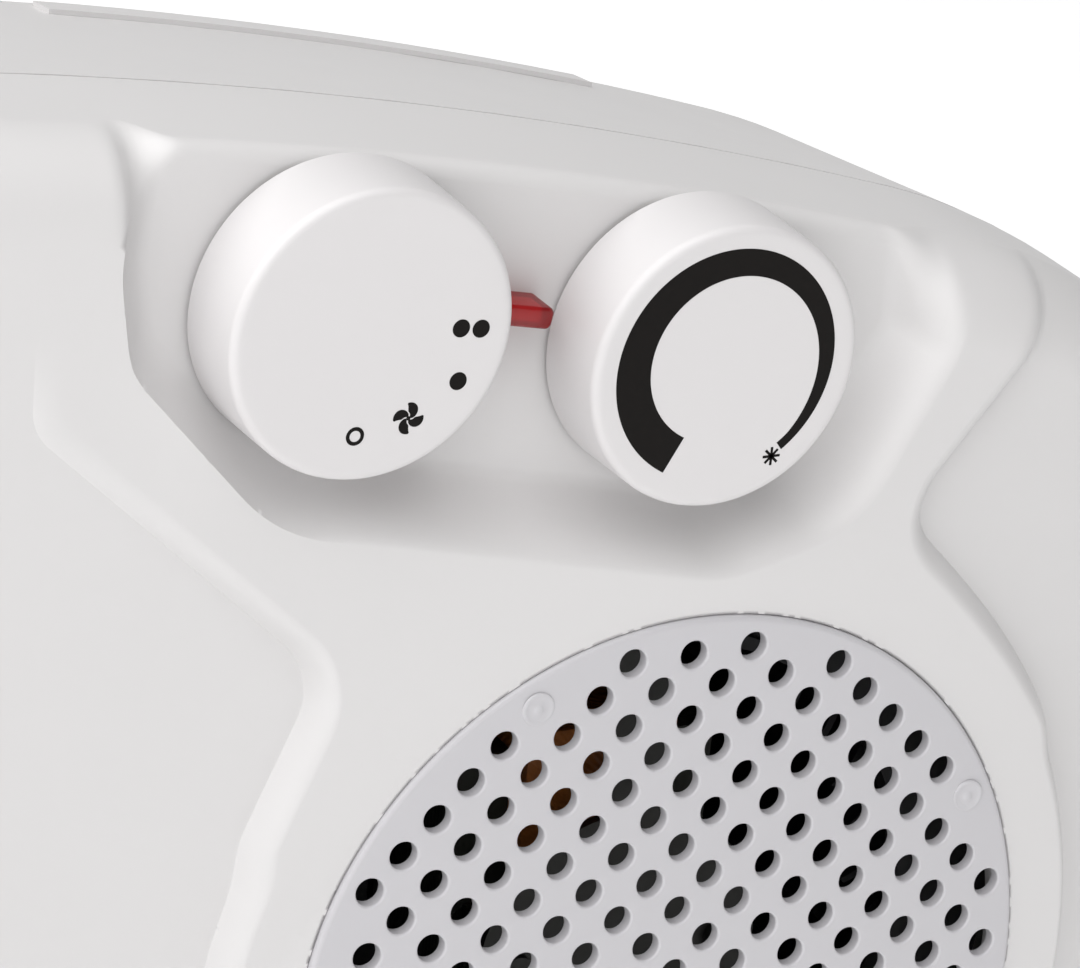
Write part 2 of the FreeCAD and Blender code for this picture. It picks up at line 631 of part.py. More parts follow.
def switch(label, place_xz, width, height, depth):
    x, z = (f"{value:.6f}" for value in place_xz)
    case = box(label + "_case", width, depth, height, f"{x} - ({width}) / 2", PLATE_BACK,
               f"{z} - ({height}) / 2")
    tabs = [box(f"{label}_tab_{i}", "0.8", "7", "6.3", f"{x} + {off}",
                f"{PLATE_BACK} + {depth} - 0.5", f"{z} - 9") for i, off in
            enumerate((-12, -4, 4, 12))]
    whole = fuse(label + "_whole", [case, neck(label + "_neck", x, z), *tabs])
    bore = rod(label + "_bore", "shaft_diameter / 2 + running_gap", f"{depth} + 10", x,
               f"{PLATE_BACK} + {depth} - 2", z)
    return node(label, cut(label, whole, [bore]))


knob("mode_knob", MODE)
knob("thermostat_knob", THERMOSTAT)
shaft("mode_shaft", MODE, "switch_depth - 4")
shaft("thermostat_shaft", THERMOSTAT, "switch_depth - 8")
switch("mode_switch", MODE, "switch_width", "switch_width - 7", "switch_depth")
switch("thermostat_switch", THERMOSTAT, "switch_width - 2", "20", "switch_depth - 4")

x_lamp, z_lamp = (f"{value:.6f}" for value in LAMP)
plate_body = body("plate_body", x_lamp, PLATE_BACK, z_lamp)
plate_body.Placement = FreeCAD.Placement(plate_body.Placement.Base, yaw(KNOB_SLOPE))


def plate_sketch(owner):
    made = sketch(owner, "plate_outline")
    half = SPACING / 2 + S["plate_overhang"]
    tall = S["plate_height"] / 2
    corners = [V(-half, -tall, 0), V(half, -tall, 0), V(half, tall, 0), V(-half, tall, 0)]
    for i in range(4):
        made.addGeometry(Part.LineSegment(corners[i], corners[(i + 1) % 4]), False)
    for i in range(4):
        made.addConstraint(Sketcher.Constraint("Coincident", i, 2, (i + 1) % 4, 1))
    for i, kind in enumerate(("Horizontal", "Vertical", "Horizontal", "Vertical")):
        made.addConstraint(Sketcher.Constraint(kind, i))
    made.addConstraint(Sketcher.Constraint("Symmetric", 0, 1, 2, 1, -1, 1))
    made.addConstraint(Sketcher.Constraint("DistanceY", 1, 1, 1, 2, 2 * tall))
    made.setExpression("Constraints[9]", "Sizes.plate_height")
    made.addConstraint(Sketcher.Constraint("DistanceX", 0, 1, 0, 2, 2 * half))
    made.setExpression("Constraints[10]", f"{SPACING:.6f} + 2 * Sizes.plate_overhang")
    return made


pad(plate_body, "plate_pad", plate_sketch(plate_body), "plate_sheet")
plate_holes = []
for i, (x, z) in enumerate((MODE, THERMOSTAT)):
    plate_holes.append(rod(f"plate_neck_{i}", "neck_diameter / 2 + screw_gap", "10",
                           f"{x:.6f}", PLATE_BACK + " + 4", f"{z:.6f}"))
for i, (x, z) in enumerate(PLATE_SCREWS):
    plate_holes.append(rod(f"plate_hole_{i}", "small_screw / 2 + screw_gap", "10",
                           f"{x:.6f}", PLATE_BACK + " + 4", f"{z:.6f}"))
plate_holes.append(rod("plate_lamp", "3", "10", x_lamp, PLATE_BACK + " + 4", z_lamp))
node("control_bracket", cut("control_bracket", plate_body, plate_holes))
screws("bracket_screws", PLATE_SCREWS, PLATE_BACK, "7", SMALL, "small_screw * 0.9", "1.8")

nuts = []
for i, (x, z) in enumerate((MODE, THERMOSTAT)):
    hexagon = doc.addObject("Part::Prism", f"nut_hexagon_{i}")
    hexagon.Polygon = 6
    bind(hexagon, Circumradius="nut_width / sqrt(3)", Height="nut_height")
    place(hexagon, f"{x:.6f}", PLATE_FRONT, f"{z:.6f}", ALONG_Y)
    hole = rod(f"nut_hole_{i}", "neck_diameter / 2 + screw_gap", "nut_height + 2",
               f"{x:.6f}", PLATE_FRONT + " + 1", f"{z:.6f}")
    nuts.append(cut(f"nut_{i}", hexagon, [hole]))
node("shaft_nuts", group("shaft_nuts", nuts))


def turned_part(name, shape):
    """A piece built on the lamp's axis, turned onto the line of the knobs."""
    shape.rotate(V(), V(0, -1, 0), KNOB_SLOPE)
    shape.translate(V(LAMP[0], 0, LAMP[1]))
    return node(name, formed(name, shape))


def bar(length, height, y_rear, y_front):
    return Part.makeBox(length, y_rear - y_front, height, V(-length / 2, y_front, -height / 2))


plate_front_y = -POCKET_BACK + S["plate_standoff"]
plate_back_y = plate_front_y + S["plate_sheet"]
lens = bar(S["lens_width"], S["lens_height"], plate_front_y - 0.2,
           -S["pocket_floor"] - S["lens_proud"])
lens_front = [e for e in lens.Edges if e.BoundBox.YMax < -S["pocket_floor"] - S["lens_proud"] + 0.1]
lens = lens.makeFillet(0.5, lens_front)
lens = lens.fuse(bar(S["lens_width"] + 3, S["lens_height"] + 3, -POCKET_BACK + S["lens_flange"],
                     -POCKET_BACK))
lens = lens.cut(bar(S["lens_width"] - 2.4, S["lens_height"] - 1.3, plate_front_y + 1,
                    -S["pocket_floor"] - S["lens_proud"] + 2))
turned_part("indicator_lens", lens)
lamp = disc(1.9, 0, 0, plate_back_y + 8, plate_front_y + 0.2)
turned_part("indicator_lamp", lamp)
holder = bar(9, 12, plate_back_y + 9, plate_back_y).cut(disc(2, 0, 0, plate_back_y + 8, plate_back_y - 1))
turned_part("lamp_holder", holder)


# ---------------------------------------------------------------- blower

FAN = (S["fan_x"], S["fan_z"])
SCROLL_FLOOR = S["fan_z"] - SCROLL_RADIUS
SCROLL_TOP = S["fan_z"] + SCROLL_RADIUS


def scroll_wire():
    """The air chamber: a box on the left that closes round the wheel on the right."""
    def around(angle, radius):
        turn = math.radians(angle)
        return V(FAN[0] + radius * math.cos(turn), 0, FAN[1] + radius * math.sin(turn))
    floor_end = V(S["element_left"] + S["element_length"] + 4, 0, SCROLL_FLOOR)
    tongue = around(200, SCROLL_RADIUS - 4)
    low = around(-90, SCROLL_RADIUS)
    high = around(90, SCROLL_RADIUS)
    left_high = V(S["scroll_left"], 0, SCROLL_TOP)
    left_low = V(S["scroll_left"], 0, SCROLL_FLOOR)
    return Part.Wire([
        Part.makeLine(left_low, floor_end),
        Part.makeLine(floor_end, tongue),
        Part.Arc(tongue, around(235, SCROLL_RADIUS - 1.5), low).toShape(),
        Part.Arc(low, around(0, SCROLL_RADIUS), high).toShape(),
        Part.makeLine(high, left_high),
        Part.makeLine(left_high, left_low),
    ])


def ears(y_rear, y_front):
    return [disc(S["pillar_diameter"] / 2, x, z, y_rear, y_front) for x, z in PILLARS]


def screw_bores(y_rear, y_front):
    return [disc(S["screw_diameter"] / 2 + 0.3, x, z, y_rear, y_front) for x, z in PILLARS]


ELEMENT_RIGHT = S["element_left"] + S["element_length"]


def build_scroll_back():
    rear = -S["scroll_rear"]
    front = -S["scroll_front"] + S["scroll_wall"]
    inner = scroll_wire()
    outer = inner.makeOffset2D(S["scroll_wall"])
    tub = prism(outer, rear, front).fuse(ears(rear, front))
    tub = tub.cut(prism(inner, rear - S["scroll_wall"], front - 1))
    mouth = Part.makeBox(S["element_length"], S["element_depth"], 10,
                         V(S["element_left"], -S["element_front"], SCROLL_FLOOR - 8))
    return tub.cut([mouth, *screw_bores(rear + 1, front - 1)])


def build_scroll_front():
    front = -S["scroll_front"]
    rear = front + S["scroll_wall"]
    sheet_body = prism(scroll_wire().makeOffset2D(S["scroll_wall"]), rear, front)
    lip = disc(S["inlet_diameter"] / 2 + 2, *FAN, rear, front - 1.4)
    sheet_body = sheet_body.fuse([lip, *ears(rear, front)])
    holes = screw_bores(rear + 1, front - 1)
    holes += [disc(S["small_screw"] / 2 + S["screw_gap"], x, z, rear + 1, front - 1)
              for x, z in star_places()]
    return sheet_body.cut([disc(S["inlet_diameter"] / 2, *FAN, rear + 1, front - 3), *holes])


def star_places():
    """Where the three arms of the motor's star are screwed down, round the inlet."""
    turns = [math.radians(angle) for angle in (90, 210, 330)]
    return [(FAN[0] + S["mount_circle"] * math.cos(t), FAN[1] + S["mount_circle"] * math.sin(t))
            for t in turns]


node("scroll_back", formed("scroll_back", build_scroll_back()))
node("scroll_front", formed("scroll_front", build_scroll_front()))

WHEEL_FRONT = "-scroll_front + scroll_wall + wheel_gap"
wheel = body("wheel_body", "fan_x", f"{WHEEL_FRONT} + wheel_length", "fan_z")
pad(wheel, "wheel_disc", ring_sketch(wheel, "wheel_disc_rim", "wheel_diameter / 2",
                                     "motor_shaft / 2 + running_gap"), "wheel_sheet")
pad(wheel, "wheel_hub", ring_sketch(wheel, "wheel_hub_rim", "motor_shaft * 1.6",
                                    "motor_shaft / 2 + running_gap"), "wheel_sheet + 10")
doc.recompute()


def blade_sketch(owner):
    """One curved blade: two arcs closed by short ends, just inside the wheel's rim."""
    made = sketch(owner, "blade_outline")
    outer = S["wheel_diameter"] / 2 - 1
    inner = outer - S["blade_chord"] * 0.85
    lead = math.radians(9)
    ends = (V(inner, 0, 0), V(outer * math.cos(lead), outer * math.sin(lead), 0))
    along = (ends[1] - ends[0]).normalize()
    across = V(-along.y, along.x, 0)
    middle = (ends[0] + ends[1]) / 2 - across * 1.6
    thick = across * S["blade_sheet"]
    low = Part.Arc(ends[0], middle, ends[1])
    high = Part.Arc(ends[0] + thick, middle + thick, ends[1] + thick)
    made.addGeometry([low, Part.LineSegment(ends[1], ends[1] + thick), high,
                      Part.LineSegment(ends[0] + thick, ends[0])], False)
    return made


blade = pad(wheel, "blade", blade_sketch(wheel), "wheel_length - 1")
blades = wheel.newObject("PartDesign::PolarPattern", "blades")
blades.Originals = [blade]
axis_plane = next(f for f in wheel.Origin.OriginFeatures if f.Role == "Y_Axis")
blades.Axis = (axis_plane, [""])
blades.Angle = 360
bind(blades, Occurrences="blade_count")
wheel.Tip = blades
doc.recompute()
rim_outer = rod("wheel_rim_outer", "wheel_diameter / 2", "3", "fan_x",
                f"{WHEEL_FRONT} + 3", "fan_z")
rim_inner = rod("wheel_rim_inner", "wheel_diameter / 2 - 3.5", "4", "fan_x",
                f"{WHEEL_FRONT} + 3.5", "fan_z")
wheel_rim = cut("wheel_rim", rim_outer, [rim_inner])
node("fan_wheel", fuse("fan_wheel", [wheel, wheel_rim]))


# ---------------------------------------------------------------- motor inside the wheel

STACK_REAR = "-stack_front + stack_depth"
STAR_REAR = "-scroll_front - mount_height"
BOLTS = [(FAN[0] - S["bolt_reach"], FAN[1]), (FAN[0] + S["bolt_reach"], FAN[1])]
BOLT_HOLE = "small_screw / 2 + screw_gap"
BAR_LOW = "stack_high - 10"


def bolt_holes(name, y_rear, length):
    return [rod(f"{name}_bolt_{i}", BOLT_HOLE, length, f"{x:.6f}", y_rear, f"{z:.6f}")
            for i, (x, z) in enumerate(BOLTS)]


stack = box("stack", "stack_width", "stack_depth", "stack_low + stack_high",
            "fan_x - stack_width / 2", "-stack_front", "fan_z - stack_low")
stack_window = box("stack_window", "coil_width + 0.4", "stack_depth + 2", "coil_build + 0.6",
                   "fan_x - coil_width / 2 - 0.2", "-stack_front - 1",
                   f"fan_z + {BAR_LOW} - coil_build - 0.6")
stack_bore = rod("stack_bore", "rotor_diameter / 2 + air_gap", "stack_depth + 2", "fan_x",
                 f"{STACK_REAR} + 1", "fan_z")
node("motor_stator", cut("motor_stator", stack,
                         [stack_window, stack_bore,
                          *bolt_holes("stack", f"{STACK_REAR} + 1", "stack_depth + 2")]))

coil_block = box("coil_block", "coil_width", "stack_depth + 2 * coil_build",
                 "10 + 2 * coil_build", "fan_x - coil_width / 2", "-stack_front - coil_build",
                 f"fan_z + {BAR_LOW} - coil_build")
coil_hole = box("coil_hole", "coil_width + 2", "stack_depth + 0.2", "10.2",
                "fan_x - coil_width / 2 - 1", "-stack_front - 0.1",
                f"fan_z + {BAR_LOW} - 0.1")
node("motor_coil", cut("motor_coil", coil_block, [coil_hole]))

shaft_bore = "motor_shaft / 2 + screw_gap / 2"
rotor = rod("rotor_drum", "rotor_diameter / 2", "stack_depth", "fan_x", STACK_REAR, "fan_z")
rotor_bore = rod("rotor_bore", shaft_bore, "stack_depth + 2", "fan_x", f"{STACK_REAR} + 1",
                 "fan_z")
node("motor_rotor", cut("motor_rotor", rotor, [rotor_bore]))
node("motor_shaft", rod("motor_shaft", "motor_shaft / 2", "62", "fan_x",
                        f"{WHEEL_FRONT} + wheel_length + 2.8", "fan_z"))

clip_outer = rod("clip_outer", "motor_shaft * 1.4", "2", "fan_x",
                 f"{WHEEL_FRONT} + wheel_length + 2", "fan_z")
clip_bore = rod("clip_bore", shaft_bore, "4", "fan_x", f"{WHEEL_FRONT} + wheel_length + 3",
                "fan_z")
node("wheel_clip", cut("wheel_clip", clip_outer, [clip_bore]))

BEARINGS = {"front": "-stack_front - coil_build + 1", "rear": f"{STACK_REAR} + coil_build + 5"}
made_bearings = []
for end, y_rear in BEARINGS.items():
    bush = rod(f"bush_{end}", "bearing_diameter / 2", "bearing_length", "fan_x", y_rear,
               "fan_z")
    bore = rod(f"bush_bore_{end}", "motor_shaft / 2 + running_gap", "bearing_length + 2",
               "fan_x", f"{y_rear} + 1", "fan_z")
    made_bearings.append(cut(f"bearing_{end}", bush, [bore]))
node("motor_bearings", group("motor_bearings", made_bearings))


def end_bracket(label, plate_rear, sleeve_rear, sleeve_length, bush_rear):
    """A pressed strip across the motor that holds a bearing and two bolt sleeves."""
    strip = box(label + "_strip", "2 * bolt_reach + 9", "2", "14", "fan_x - bolt_reach - 4.5",
                f"{plate_rear} - 2", "fan_z - 7")
    cup = rod(label + "_cup", "bearing_diameter / 2 + 1.5", "bearing_length", "fan_x",
              bush_rear, "fan_z")
    sleeves = [rod(f"{label}_sleeve_{i}", "small_screw", sleeve_length, f"{x:.6f}",
                   sleeve_rear, f"{z:.6f}") for i, (x, z) in enumerate(BOLTS)]
    whole = fuse(label + "_whole", [strip, cup, *sleeves])
    seat = rod(label + "_seat", "bearing_diameter / 2 + screw_gap / 2", "bearing_length + 2",
               "fan_x", f"{bush_rear} + 1", "fan_z")
    return node(label, cut(label, whole, [seat, *bolt_holes(label, f"{sleeve_rear} + 8",
                                                            "60")]))


end_bracket("motor_bracket_front", "-stack_front - coil_build - 1", "-stack_front",
            f"-stack_front - ({STAR_REAR})", BEARINGS["front"])
end_bracket("motor_bracket_rear", f"{STACK_REAR} + coil_build + 3",
            f"{STACK_REAR} + coil_build + 3", "coil_build + 3", BEARINGS["rear"])

star_arms = [box(f"star_arm_{i}", "mount_circle + 5", "star_sheet", "10", "fan_x",
                 f"{STAR_REAR} - star_sheet", "fan_z", yaw(angle))
             for i, angle in enumerate((90, 210, 330))]
for i, angle in enumerate((90, 210, 330)):
    turn = math.radians(angle)
    bind(star_arms[i], Placement__Base__x=f"fan_x + {5 * math.sin(turn):.6f}",
         Placement__Base__z=f"fan_z - {5 * math.cos(turn):.6f}")
star_hub = rod("star_hub", "bolt_reach + 6", "star_sheet", "fan_x", STAR_REAR, "fan_z")
star_whole = fuse("star_whole", [star_hub, *star_arms])
star_holes = [rod(f"star_hole_{i}", BOLT_HOLE, "8", f"{x:.6f}", f"{STAR_REAR} + 3",
                  f"{z:.6f}") for i, (x, z) in enumerate(star_places())]
node("motor_star", cut("motor_star", star_whole,
                       [*star_holes, *bolt_holes("star", f"{STAR_REAR} + 3", "8")]))
screws("star_screws", star_places(), f"{STAR_REAR} - star_sheet", "6.5", SMALL,
       "small_screw * 0.9", "1.6", to_front=False)

rubbers = []
for i, (x, z) in enumerate(star_places()):
    ring = rod(f"rubber_{i}_body", "small_screw * 1.4", "mount_height", f"{x:.6f}",
               "-scroll_front", f"{z:.6f}")
    hole = rod(f"rubber_{i}_hole", BOLT_HOLE, "mount_height + 2", f"{x:.6f}",
               "-scroll_front + 1", f"{z:.6f}")
    rubbers.append(cut(f"rubber_{i}", ring, [hole]))
node("rubber_mounts", group("rubber_mounts", rubbers))

BOLT_END = f"{STACK_REAR} + coil_build + 3"
screws("motor_bolts", BOLTS, f"{STAR_REAR} - star_sheet",
       f"({BOLT_END}) - ({STAR_REAR}) + star_sheet + 3", SMALL, "small_screw * 0.9", "1.6",
       to_front=False)
bolt_nuts = []
for i, (x, z) in enumerate(BOLTS):
    hexagon = doc.addObject("Part::Prism", f"bolt_nut_{i}_hexagon")
    hexagon.Polygon = 6
    bind(hexagon, Circumradius="small_screw", Height="2.4")
    place(hexagon, f"{x:.6f}", f"{BOLT_END} + 2.4", f"{z:.6f}", ALONG_Y)
    hole = rod(f"bolt_nut_{i}_hole", BOLT_HOLE, "5", f"{x:.6f}", f"{BOLT_END} + 3", f"{z:.6f}")
    bolt_nuts.append(cut(f"bolt_nut_{i}", hexagon, [hole]))
node("motor_nuts", group("motor_nuts", bolt_nuts))


# ---------------------------------------------------------------- ceramic element

ELEMENT_TOP = f"{SCROLL_FLOOR:.6f} - scroll_wall"
frame_outer = box("frame_outer", "element_length + 2 * frame_wall",
                  "element_depth + 2 * frame_wall", "element_height",
                  "element_left - frame_wall", "-element_front - frame_wall",
                  f"{ELEMENT_TOP} - element_height")
frame_inner = box("frame_inner", "element_length", "element_depth", "element_height + 2",
                  "element_left", "-element_front", f"{ELEMENT_TOP} - element_height - 1")
frame_ledges = [box(f"frame_ledge_{i}", "10", "22", "3",
                    start, "-element_front + 6", f"{ELEMENT_TOP} - 3")
                for i, start in enumerate(("element_left - frame_wall - 10",
                                           "element_left + element_length + frame_wall"))]
rungs = [box(f"frame_rung_{i}", "2", "element_depth", "2",
             f"element_left + element_length * {i + 1} / 4", "-element_front",
             f"{ELEMENT_TOP} - element_height") for i in range(3)]
frame_tube = cut("frame_tube", frame_outer, [frame_inner])
node("heater_frame", fuse("heater_frame", [frame_tube, *frame_ledges, *rungs]))

SANDWICH = S["ceramic_sheet"] + 2 * S["electrode_sheet"]
FIN_SIDE = (S["element_depth"] - 2 * SANDWICH) * 0.31
FIN_MIDDLE = S["element_depth"] - 2 * SANDWICH - 2 * FIN_SIDE
FIN_LOW = SCROLL_FLOOR - S["scroll_wall"] - S["element_height"] + 2
FRONT_EDGE = -S["element_front"]
SANDWICHES = [FRONT_EDGE + FIN_SIDE, FRONT_EDGE + FIN_SIDE + SANDWICH + FIN_MIDDLE]
FIN_BANKS = [(FRONT_EDGE, FIN_SIDE), (SANDWICHES[0] + SANDWICH, FIN_MIDDLE),
             (SANDWICHES[1] + SANDWICH, FIN_SIDE)]


def fin_bank(y_low, depth):
    """One corrugated strip that fills a bank: a zigzag of constant gauge, seen from above."""
    folds = int(S["element_length"] / S["fin_pitch"] - 0.5) * 2
    start = S["element_left"] + (S["element_length"] - folds * S["fin_pitch"] / 2) / 2
    swing = depth - S["fin_gauge"]
    low = [V(start + i * S["fin_pitch"] / 2, y_low + swing * (i % 2), 0)
           for i in range(folds + 1)]
    high = [point + V(0, S["fin_gauge"], 0) for point in reversed(low)]
    strip = Part.Face(Part.makePolygon([*low, *high, low[0]]))
    strip.translate(V(0, 0, FIN_LOW))
    return strip.extrude(V(0, 0, S["fin_height"]))


def slab(y_low, depth, length, left):
    """A flat bar of the element, as tall as the fins."""
    return Part.makeBox(length, depth, S["fin_height"], V(left, y_low, FIN_LOW))


STONES = 6
STONE_PITCH = (S["element_length"] - 4) / STONES
stones = []
electrodes = []
for y_low in SANDWICHES:
    for side in (0, S["electrode_sheet"] + S["ceramic_sheet"]):
        electrodes.append(slab(y_low + side, S["electrode_sheet"], S["element_length"] - 1,
                               S["element_left"] + 0.5))
    for i in range(STONES):
        stones.append(slab(y_low + S["electrode_sheet"], S["ceramic_sheet"],
                           STONE_PITCH - 0.6, S["element_left"] + 2 + i * STONE_PITCH))
node("heater_fins", formed("heater_fins", Part.makeCompound([fin_bank(*b) for b in FIN_BANKS])))
node("ptc_ceramics", formed("ptc_ceramics", Part.makeCompound(stones)))
node("electrode_plates", formed("electrode_plates", Part.makeCompound(electrodes)))

CUTOUT = (S["element_left"] + 80, SCROLL_FLOOR + 18)
chamber_back = "-scroll_rear - scroll_wall"
cutout_can = rod("cutout_can", "8", "9", f"{CUTOUT[0]:.6f}", chamber_back,
                 f"{CUTOUT[1]:.6f}")
cutout_flange = box("cutout_flange", "24", "0.8", "9", f"{CUTOUT[0] - 12:.6f}",
                    f"{chamber_back} - 0.8", f"{CUTOUT[1] - 4.5:.6f}")
node("thermal_cutout", fuse("thermal_cutout", [cutout_can, cutout_flange]))
fuse_can = rod("fuse_can", "2", "14", f"{CUTOUT[0] + 26:.6f}", f"{chamber_back} - 2.1",
               f"{CUTOUT[1]:.6f}", ALONG_X)
fuse_clip = box("fuse_clip", "5", "4.6", "5", f"{CUTOUT[0] + 30.5:.6f}",
                f"{chamber_back} - 4.6", f"{CUTOUT[1] - 2.5:.6f}")
node("thermal_fuse", fuse("thermal_fuse", [fuse_can, fuse_clip]))


# ---------------------------------------------------------------- outlet louvre

def build_outlet():
    """A louvre dropped in from above: a frame with a flange inside and tilted slats."""
    low = S["case_bottom"]
    gap = S["fit_gap"]
    wide = S["element_length"] - 2 * gap
    deep = S["element_depth"] - 2 * gap
    left = S["element_left"] + gap
    front = FRONT_EDGE + gap
    tall = S["outlet_height"]
    flange_low = low + S["shell_wall"]
    outer = Part.makeBox(wide, deep, tall, V(left, front, low))
    edge = S["outlet_flange"]
    flange = Part.makeBox(wide + 2 * edge, deep + 2 * edge, 1.5,
                          V(left - edge, front - edge, flange_low))
    rim = 2
    hole = Part.makeBox(wide - 2 * rim, deep - 2 * rim, tall + 4,
                        V(left + rim, front + rim, low - 2))
    slats = []
    count = 4
    for i in range(count):
        y = front + rim + (deep - 2 * rim) * (i + 0.5) / count
        slat = Part.makeBox(wide, S["slat_sheet"], tall + 3, V(left, y, low - 1.5))
        slat.rotate(V(0, y, low + tall / 2), V(1, 0, 0), S["slat_tilt"])
        slats.append(slat)
    posts = [Part.makeBox(2, deep, tall - 3, V(left + wide * i / 4 - 1, front, low + 3))
             for i in range(1, 4)]
    grid = slats[0].multiFuse([*slats[1:], *posts]).common(outer)
    return outer.fuse(flange).cut(hole).fuse(grid).removeSplitter()


node("outlet_grille", formed("outlet_grille", build_outlet()))


# ---------------------------------------------------------------- wiring and mounting

block_x, block_z = TERMINALS
seat_y = "-wall_gap - shell_wall - 3"
block_case = box("block_case", "30", "14", "18", f"{block_x - 15}", f"{seat_y} - 14",
                 f"{block_z - 9}")
wells = [rod(f"block_well_{i}", "2.6", "5", f"{block_x - 9 + 9 * i}", f"{seat_y} - 10",
             f"{block_z + 5}") for i in range(3)]
block_holes = [rod(f"block_hole_{i}", BOLT_HOLE, "20", f"{block_x + side * 11}",
                   f"{seat_y} + 1", f"{block_z}") for i, side in enumerate((-1, 1))]
node("terminal_block", cut("terminal_block", block_case, [*wells, *block_holes]))
screws("terminal_screws", [(block_x - 11, block_z), (block_x + 11, block_z)],
       f"{seat_y} - 14", "16.8", SMALL, "small_screw * 0.9", "1.6", to_front=False)

gland_seat = box("gland_box", "24", "24", "2", "gland_x - 12", "gland_y - 12",
                 "case_bottom + shell_wall")
gland_tube = rod("gland_tube", "gland_diameter / 2 - fit_gap / 3", "shell_wall + 6",
                 "gland_x", "gland_y", "case_bottom", UPRIGHT)
gland_bore = rod("gland_bore", "cable_bore / 2", "20", "gland_x", "gland_y",
                 "case_bottom - 5", UPRIGHT)
node("cable_gland", cut("cable_gland", fuse("gland_whole", [gland_seat, gland_tube]),
                        [gland_bore]))

plate = body("bracket_body", "0", "0", "bracket_low + bracket_height / 2")


def bracket_sketch(owner):
    made = sketch(owner, "bracket_outline")
    half = S["bracket_width"] / 2
    tall = S["bracket_height"] / 2
    corners = [V(-half, -tall, 0), V(half, -tall, 0), V(half, tall, 0), V(-half, tall, 0)]
    for i in range(4):
        made.addGeometry(Part.LineSegment(corners[i], corners[(i + 1) % 4]), False)
        made.addConstraint(Sketcher.Constraint("Horizontal" if i % 2 == 0 else "Vertical", i))
    for i in range(4):
        made.addConstraint(Sketcher.Constraint("Coincident", i, 2, (i + 1) % 4, 1))
    made.addConstraint(Sketcher.Constraint("Symmetric", 0, 1, 2, 1, -1, 1))
    made.addConstraint(Sketcher.Constraint("DistanceX", 0, 1, 0, 2, 2 * half))
    made.setExpression("Constraints[9]", "Sizes.bracket_width")
    made.addConstraint(Sketcher.Constraint("DistanceY", 1, 1, 1, 2, 2 * tall))
    made.setExpression("Constraints[10]", "Sizes.bracket_height")
    return made


pad(plate, "bracket_pad", bracket_sketch(plate), "wall_gap")
hooks = []
for i, side in enumerate((-1, 1)):
    left = f"{side} * hook_x - hook_width / 2"
    high = "bracket_low + bracket_height - hook_drop"
    hooks.append(box(f"hook_tongue_{i}", "hook_width", "shell_wall + 3", "2", left,
                     "-wall_gap - shell_wall - 3", f"{high} - 2"))
    hooks.append(box(f"hook_lip_{i}", "hook_width", "1.8", "hook_reach", left,
                     "-wall_gap - shell_wall - 3", f"{high} - 2"))
bracket_holes = []
for i, (side, rise) in enumerate(((-1, -1), (1, -1), (1, 1), (-1, 1))):
    bracket_holes.append(rod(f"bracket_hole_{i}", "bracket_hole / 2", "20",
                             f"{side} * bracket_hole_x", "5",
                             f"bracket_low + bracket_height / 2 + {rise} * bracket_hole_z / 2"))
node("wall_bracket", cut("wall_bracket", fuse("bracket_whole", [plate, *hooks]),
                         bracket_holes))

bumpers = [rod(f"bumper_{i}", "bumper_diameter / 2", "wall_gap", f"{side} * bumper_x", "0",
               "bumper_z") for i, side in enumerate((-1, 1))]
node("wall_bumpers", group("wall_bumpers", bumpers))


# ---------------------------------------------------------------- rebuild and export

os.makedirs("parts", exist_ok=True)
doc.recompute()
for thing in doc.Objects:
    if "Invalid" in thing.State or "Error" in thing.State:
        raise RuntimeError(f"{thing.Label} did not rebuild: {thing.State}")
for piece in NODES:
    shape = piece.Shape
    if shape.isNull() or not shape.isValid():
        raise RuntimeError(f"{piece.Label} has no valid shape")
for piece in NODES:
    piece.Shape.exportStep(f"parts/{piece.Label}.step")
    print(f"{piece.Label}: {len(piece.Shape.Solids)} solid(s), {piece.Shape.Volume:.0f} mm3")
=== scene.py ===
"""Ceramic space heater: moulded skins, knobs, prints and finishes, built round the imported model."""

import math

import bpy
import numpy as np
from mathutils import Matrix, Vector
from mathutils.geometry import delaunay_2d_cdt


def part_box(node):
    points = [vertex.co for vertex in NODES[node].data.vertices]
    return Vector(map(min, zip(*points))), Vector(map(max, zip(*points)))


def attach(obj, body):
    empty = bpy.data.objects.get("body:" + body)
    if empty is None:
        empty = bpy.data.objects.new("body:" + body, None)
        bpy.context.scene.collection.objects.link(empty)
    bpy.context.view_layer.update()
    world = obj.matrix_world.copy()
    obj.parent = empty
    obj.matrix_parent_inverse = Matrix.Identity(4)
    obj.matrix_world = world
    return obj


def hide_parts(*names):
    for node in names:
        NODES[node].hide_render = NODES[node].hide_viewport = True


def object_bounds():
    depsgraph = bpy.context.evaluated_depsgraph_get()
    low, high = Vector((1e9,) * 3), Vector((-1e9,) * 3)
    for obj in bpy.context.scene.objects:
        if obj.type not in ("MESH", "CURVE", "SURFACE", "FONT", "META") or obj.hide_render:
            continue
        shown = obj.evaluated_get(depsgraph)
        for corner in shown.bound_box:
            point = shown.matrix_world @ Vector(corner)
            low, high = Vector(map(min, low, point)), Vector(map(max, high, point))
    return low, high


bl_info = {
    "name": "Ceramic space heater",
    "version": (1, 0, 0),
    "blender": (4, 5, 0),
    "location": "View3D > Sidebar > Heater",
    "description": "Moulded case, knobs, grille and finishes of a small ceramic space heater",
    "category": "Add Mesh",
}

